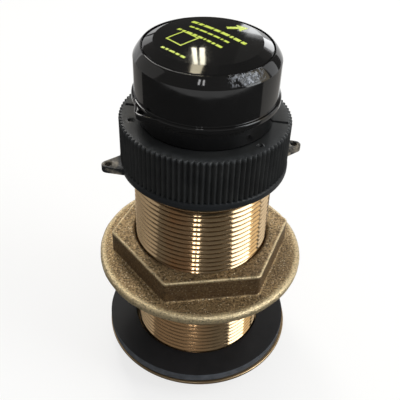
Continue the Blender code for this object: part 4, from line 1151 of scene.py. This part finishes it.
def ink_patch(corners):
    """A patch of ink between four corners, laid on the dome as (vertices, faces)."""
    first, second, third, fourth = (Vector(corner) for corner in corners)
    across = max(1, math.ceil((second - first).length / INK_CELL))
    upward = max(1, math.ceil((fourth - first).length / INK_CELL))
    vertices, faces = [], []
    for level in (INK_PROUD, INK_PROUD - INK_DEPTH):
        for row in range(upward + 1):
            for column in range(across + 1):
                low = first.lerp(second, column / across)
                high = fourth.lerp(third, column / across)
                at = low.lerp(high, row / upward)
                vertices.append((at.x, at.y, lid_height(at.length) + level))
    layer = (across + 1) * (upward + 1)
    for row in range(upward):
        for column in range(across):
            at = row * (across + 1) + column
            top = (at, at + 1, at + across + 2, at + across + 1)
            faces.append(top)
            faces.append(tuple(index + layer for index in reversed(top)))
    rim = list(range(across))
    rim += [row * (across + 1) + across for row in range(upward)]
    rim += [upward * (across + 1) + column for column in range(across, 0, -1)]
    rim += [row * (across + 1) for row in range(upward, 0, -1)]
    for index, at in enumerate(rim):
        after = rim[(index + 1) % len(rim)]
        faces.append((at, at + layer, after + layer, after))
    return vertices, faces


def box_points(left, right, low, high):
    return [(left, low), (right, low), (right, high), (left, high)]


def row_of_dashes(x, y, length, thickness, count):
    """Plain dashes of unequal length, end to end along a line of print."""
    shares = [1 + DASH_SWING * (-1) ** index * (index % 3) for index in range(count)]
    unit = (length - DASH_GAP * (count - 1)) / sum(shares)
    dashes, left = [], -length / 2
    for share in shares:
        right = left + unit * share
        dash = box_points(left, right, -thickness / 2, thickness / 2)
        dashes.append(turned(dash, PRINT_TURN, (x, y)))
        left = right + DASH_GAP
    return dashes


def print_on_lid():
    patches = []
    for row in ROWS:
        patches += row_of_dashes(*row)
    side = box_points(-SQUARE_HALF, SQUARE_HALF - SQUARE_LINE, -SQUARE_HALF,
                      -SQUARE_HALF + SQUARE_LINE)
    for quarter in range(4):
        patches.append(turned(side, SQUARE_TURN + quarter * math.pi / 2, SQUARE_MIDDLE))
    tip = ARROW_LENGTH / 2
    neck = tip - ARROW_HEAD
    shaft = box_points(-tip, neck, -ARROW_SHAFT / 2, ARROW_SHAFT / 2)
    head = [(neck, -ARROW_HEAD_HALF_WIDTH), (tip, -ARROW_BLUNT), (tip, ARROW_BLUNT),
            (neck, ARROW_HEAD_HALF_WIDTH)]
    patches += [turned(part, ARROW_TURN, ARROW_MIDDLE) for part in (shaft, head)]
    return [ink_patch(corners) for corners in patches]


def yellow_ink():
    finish, tree, shader = new_finish("yellow_green_ink", 0.30, specular=0.4)
    pale = remap(tree, mottle(tree, 0.0009, detail=5.0), 0.30, 0.62)
    coat(tree, shader, mix_colours(tree, pale, FRESH_INK, PALE_INK))
    roughen(tree, shader, mottle(tree, 0.0004), 0.00001)
    return finish


make_piece("lid_marks", print_on_lid(), yellow_ink(), "insert")


# Pieces that keep the shape of their solids: the insert's body and head, its seals, the sounder
# element, the paddlewheel and the electronics. Each gets its own finish, and its faces are
# shaded smooth wherever they meet at a shallow angle.

MERGE_DISTANCE = 0.000001
SHALLOW_ANGLE = math.radians(32.0)


def smoothing_group():
    """A node group that merges a solid's split corners and shades its curves smooth."""
    group = bpy.data.node_groups.new("smooth_curves", "GeometryNodeTree")
    group.interface.new_socket("Geometry", in_out="INPUT", socket_type="NodeSocketGeometry")
    group.interface.new_socket("Geometry", in_out="OUTPUT", socket_type="NodeSocketGeometry")
    start = group.nodes.new("NodeGroupInput")
    end = group.nodes.new("NodeGroupOutput")
    merge = group.nodes.new("GeometryNodeMergeByDistance")
    merge.inputs["Distance"].default_value = MERGE_DISTANCE
    smooth = group.nodes.new("GeometryNodeSetShadeSmooth")
    smooth.domain = "FACE"
    edges = group.nodes.new("GeometryNodeSetShadeSmooth")
    edges.domain = "EDGE"
    edges.inputs["Shade Smooth"].default_value = False
    angle = group.nodes.new("GeometryNodeInputMeshEdgeAngle")
    steep = group.nodes.new("FunctionNodeCompare")
    steep.operation = "GREATER_THAN"
    steep.inputs["B"].default_value = SHALLOW_ANGLE
    group.links.new(start.outputs[0], merge.inputs["Geometry"])
    group.links.new(merge.outputs["Geometry"], smooth.inputs["Geometry"])
    group.links.new(smooth.outputs["Geometry"], edges.inputs["Geometry"])
    group.links.new(angle.outputs["Unsigned Angle"], steep.inputs["A"])
    group.links.new(steep.outputs["Result"], edges.inputs["Selection"])
    group.links.new(edges.outputs["Geometry"], end.inputs[0])
    return group


SMOOTH_CURVES = smoothing_group()


def dress(names, finish, edge=0.0):
    """Give solids their finish, smooth shading, and rounded edges where edge says how wide."""
    for name in names:
        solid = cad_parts[name]
        solid.data.materials.clear()
        solid.data.materials.append(finish)
        if edge:
            weld = solid.modifiers.new("Merge corners", "WELD")
            weld.merge_threshold = MERGE_DISTANCE
            round_edges = solid.modifiers.new("Round edges", "BEVEL")
            round_edges.width = edge
            round_edges.segments = 2
            round_edges.limit_method = "ANGLE"
            round_edges.angle_limit = SHALLOW_ANGLE
        curves = solid.modifiers.new("Smooth curves", "NODES")
        curves.node_group = SMOOTH_CURVES


def simple_finish(name, first, second, across, roughness, metallic=0.0, depth=0.00002,
                  grain=0.0005):
    """A finish of two mottled colours with a fine grain."""
    finish, tree, shader = new_finish(name, roughness, metallic)
    patches = remap(tree, mottle(tree, across, detail=4.0), 0.32, 0.68)
    smear = remap(tree, mottle(tree, across * 0.4), 0.3, 0.7, roughness * 0.85, roughness * 1.15)
    coat(tree, shader, mix_colours(tree, patches, first, second), smear)
    roughen(tree, shader, mottle(tree, grain, detail=4.0), depth)
    return finish


MATT_BLACK = matt_black("matt_black_plastic")
dress(["insert_body"], MATT_BLACK)
dress(["upper_o_ring", "lower_o_ring"], simple_finish(
    "seal_rubber", (0.010, 0.010, 0.010), (0.016, 0.016, 0.016), 0.004, 0.45))
dress(["acoustic_window"], simple_finish(
    "window_urethane", (0.014, 0.014, 0.015), (0.022, 0.022, 0.022), 0.003, 0.28), 0.0002)
dress(["piezo_disc"], simple_finish(
    "piezo_ceramic", (0.55, 0.50, 0.40), (0.68, 0.62, 0.50), 0.002, 0.60))
dress(["piezo_backing"], simple_finish(
    "backing_cork", (0.22, 0.12, 0.05), (0.42, 0.27, 0.13), 0.0008, 0.85, depth=0.0001))
dress(["piezo_lead_port", "piezo_lead_starboard"], simple_finish(
    "wire_red", (0.42, 0.02, 0.015), (0.52, 0.04, 0.03), 0.003, 0.45))
dress(["temperature_probe", "wheel_shaft"], simple_finish(
    "stainless_steel", (0.52, 0.52, 0.51), (0.62, 0.62, 0.60), 0.002, 0.26, metallic=1.0))
dress(["wheel_magnet_1", "wheel_magnet_2", "wheel_magnet_3", "wheel_magnet_4"], simple_finish(
    "magnet_nickel", (0.46, 0.44, 0.41), (0.58, 0.56, 0.52), 0.001, 0.30, metallic=1.0))
dress(["paddlewheel"], simple_finish(
    "wheel_plastic", (0.56, 0.56, 0.52), (0.66, 0.66, 0.62), 0.004, 0.42), 0.0002)
dress(["circuit_board"], simple_finish(
    "board_green", (0.010, 0.085, 0.030), (0.018, 0.140, 0.050), 0.003, 0.35))
dress(["microcontroller", "cable_header", "speed_sensor"], simple_finish(
    "chip_black", (0.012, 0.012, 0.012), (0.022, 0.022, 0.022), 0.002, 0.50))
dress(["matching_transformer"], simple_finish(
    "ferrite", (0.040, 0.040, 0.045), (0.065, 0.065, 0.070), 0.002, 0.60))
dress(["filter_capacitor"], simple_finish(
    "capacitor_foil", (0.40, 0.41, 0.45), (0.52, 0.53, 0.57), 0.002, 0.35, metallic=1.0))


# Cable gland: a moulded hexagon body screwed into the cup's boss, and a fluted round cap that
# squeezes its seal. The cable itself isn't in the photograph, so its bore is empty.

GLAND_FACE = 0.0265
GLAND_HEX_END = 0.0291
GLAND_END = 0.0333
GLAND_BORE = 0.0034
GLAND_HALF_FLATS = 0.00485
GLAND_CORNERS = 0.0055
GLAND_EDGE = 0.0002
GLAND_PLAY = 0.0003
GLAND_SHANK = 0.0041
GLAND_SHANK_START = 0.0205
GLAND_TAIL = 0.0037
GLAND_TAIL_END = 0.0320
GLAND_CAP_RADIUS = 0.0050
GLAND_CAP_WALL = 0.0010
FLUTE_COUNT = 18
FLUTE_DEPTH = 0.00022


def gland_hexagon(angle):
    off_corner = (angle + math.pi / 6) % (math.pi / 3) - math.pi / 6
    return min(GLAND_HALF_FLATS / math.cos(math.pi / 6 - abs(off_corner)), GLAND_CORNERS)


def gland_body_rings():
    return [
        (GLAND_BORE, GLAND_SHANK_START),
        (GLAND_SHANK, GLAND_SHANK_START),
        (GLAND_SHANK, GLAND_FACE),
        lambda angle: (gland_hexagon(angle) - GLAND_EDGE, GLAND_FACE),
        lambda angle: (gland_hexagon(angle), GLAND_FACE + GLAND_EDGE),
        lambda angle: (gland_hexagon(angle), GLAND_HEX_END - GLAND_EDGE),
        lambda angle: (gland_hexagon(angle) - GLAND_EDGE, GLAND_HEX_END),
        (GLAND_TAIL, GLAND_HEX_END),
        (GLAND_TAIL, GLAND_TAIL_END),
        (GLAND_BORE, GLAND_TAIL_END),
    ]


def gland_cap_rings():
    def fluted(height, draw_in):
        def ring(angle):
            groove = max(0.0, math.cos(angle * FLUTE_COUNT)) ** 2
            return GLAND_CAP_RADIUS - draw_in - FLUTE_DEPTH * groove, height
        return ring

    start = GLAND_HEX_END + GLAND_PLAY
    shoulder = GLAND_END - GLAND_CAP_WALL
    return [
        (GLAND_TAIL + GLAND_PLAY, start),
        fluted(start, GLAND_EDGE),
        fluted(start + GLAND_EDGE, 0.0),
        fluted(shoulder - GLAND_EDGE, 0.0),
        fluted(shoulder, GLAND_EDGE / 2),
        (GLAND_CAP_RADIUS - GLAND_CAP_WALL * 0.6, GLAND_END - GLAND_PLAY),
        (GLAND_CAP_RADIUS - GLAND_CAP_WALL, GLAND_END),
        (GLAND_BORE + GLAND_EDGE, GLAND_END),
        (GLAND_BORE, GLAND_END - GLAND_EDGE),
        (GLAND_BORE, shoulder),
        (GLAND_TAIL + GLAND_PLAY, shoulder),
    ]


make_piece("cable_gland_body", [turned_astern(gland_body_rings(), 96, GLAND_Z)], MATT_BLACK,
           "insert", ["cable_gland"], sharp=30.0)
make_piece("gland_cap_fluted", [turned_astern(gland_cap_rings(), 144, GLAND_Z)], MATT_BLACK,
           "insert", ["gland_cap"], sharp=30.0)
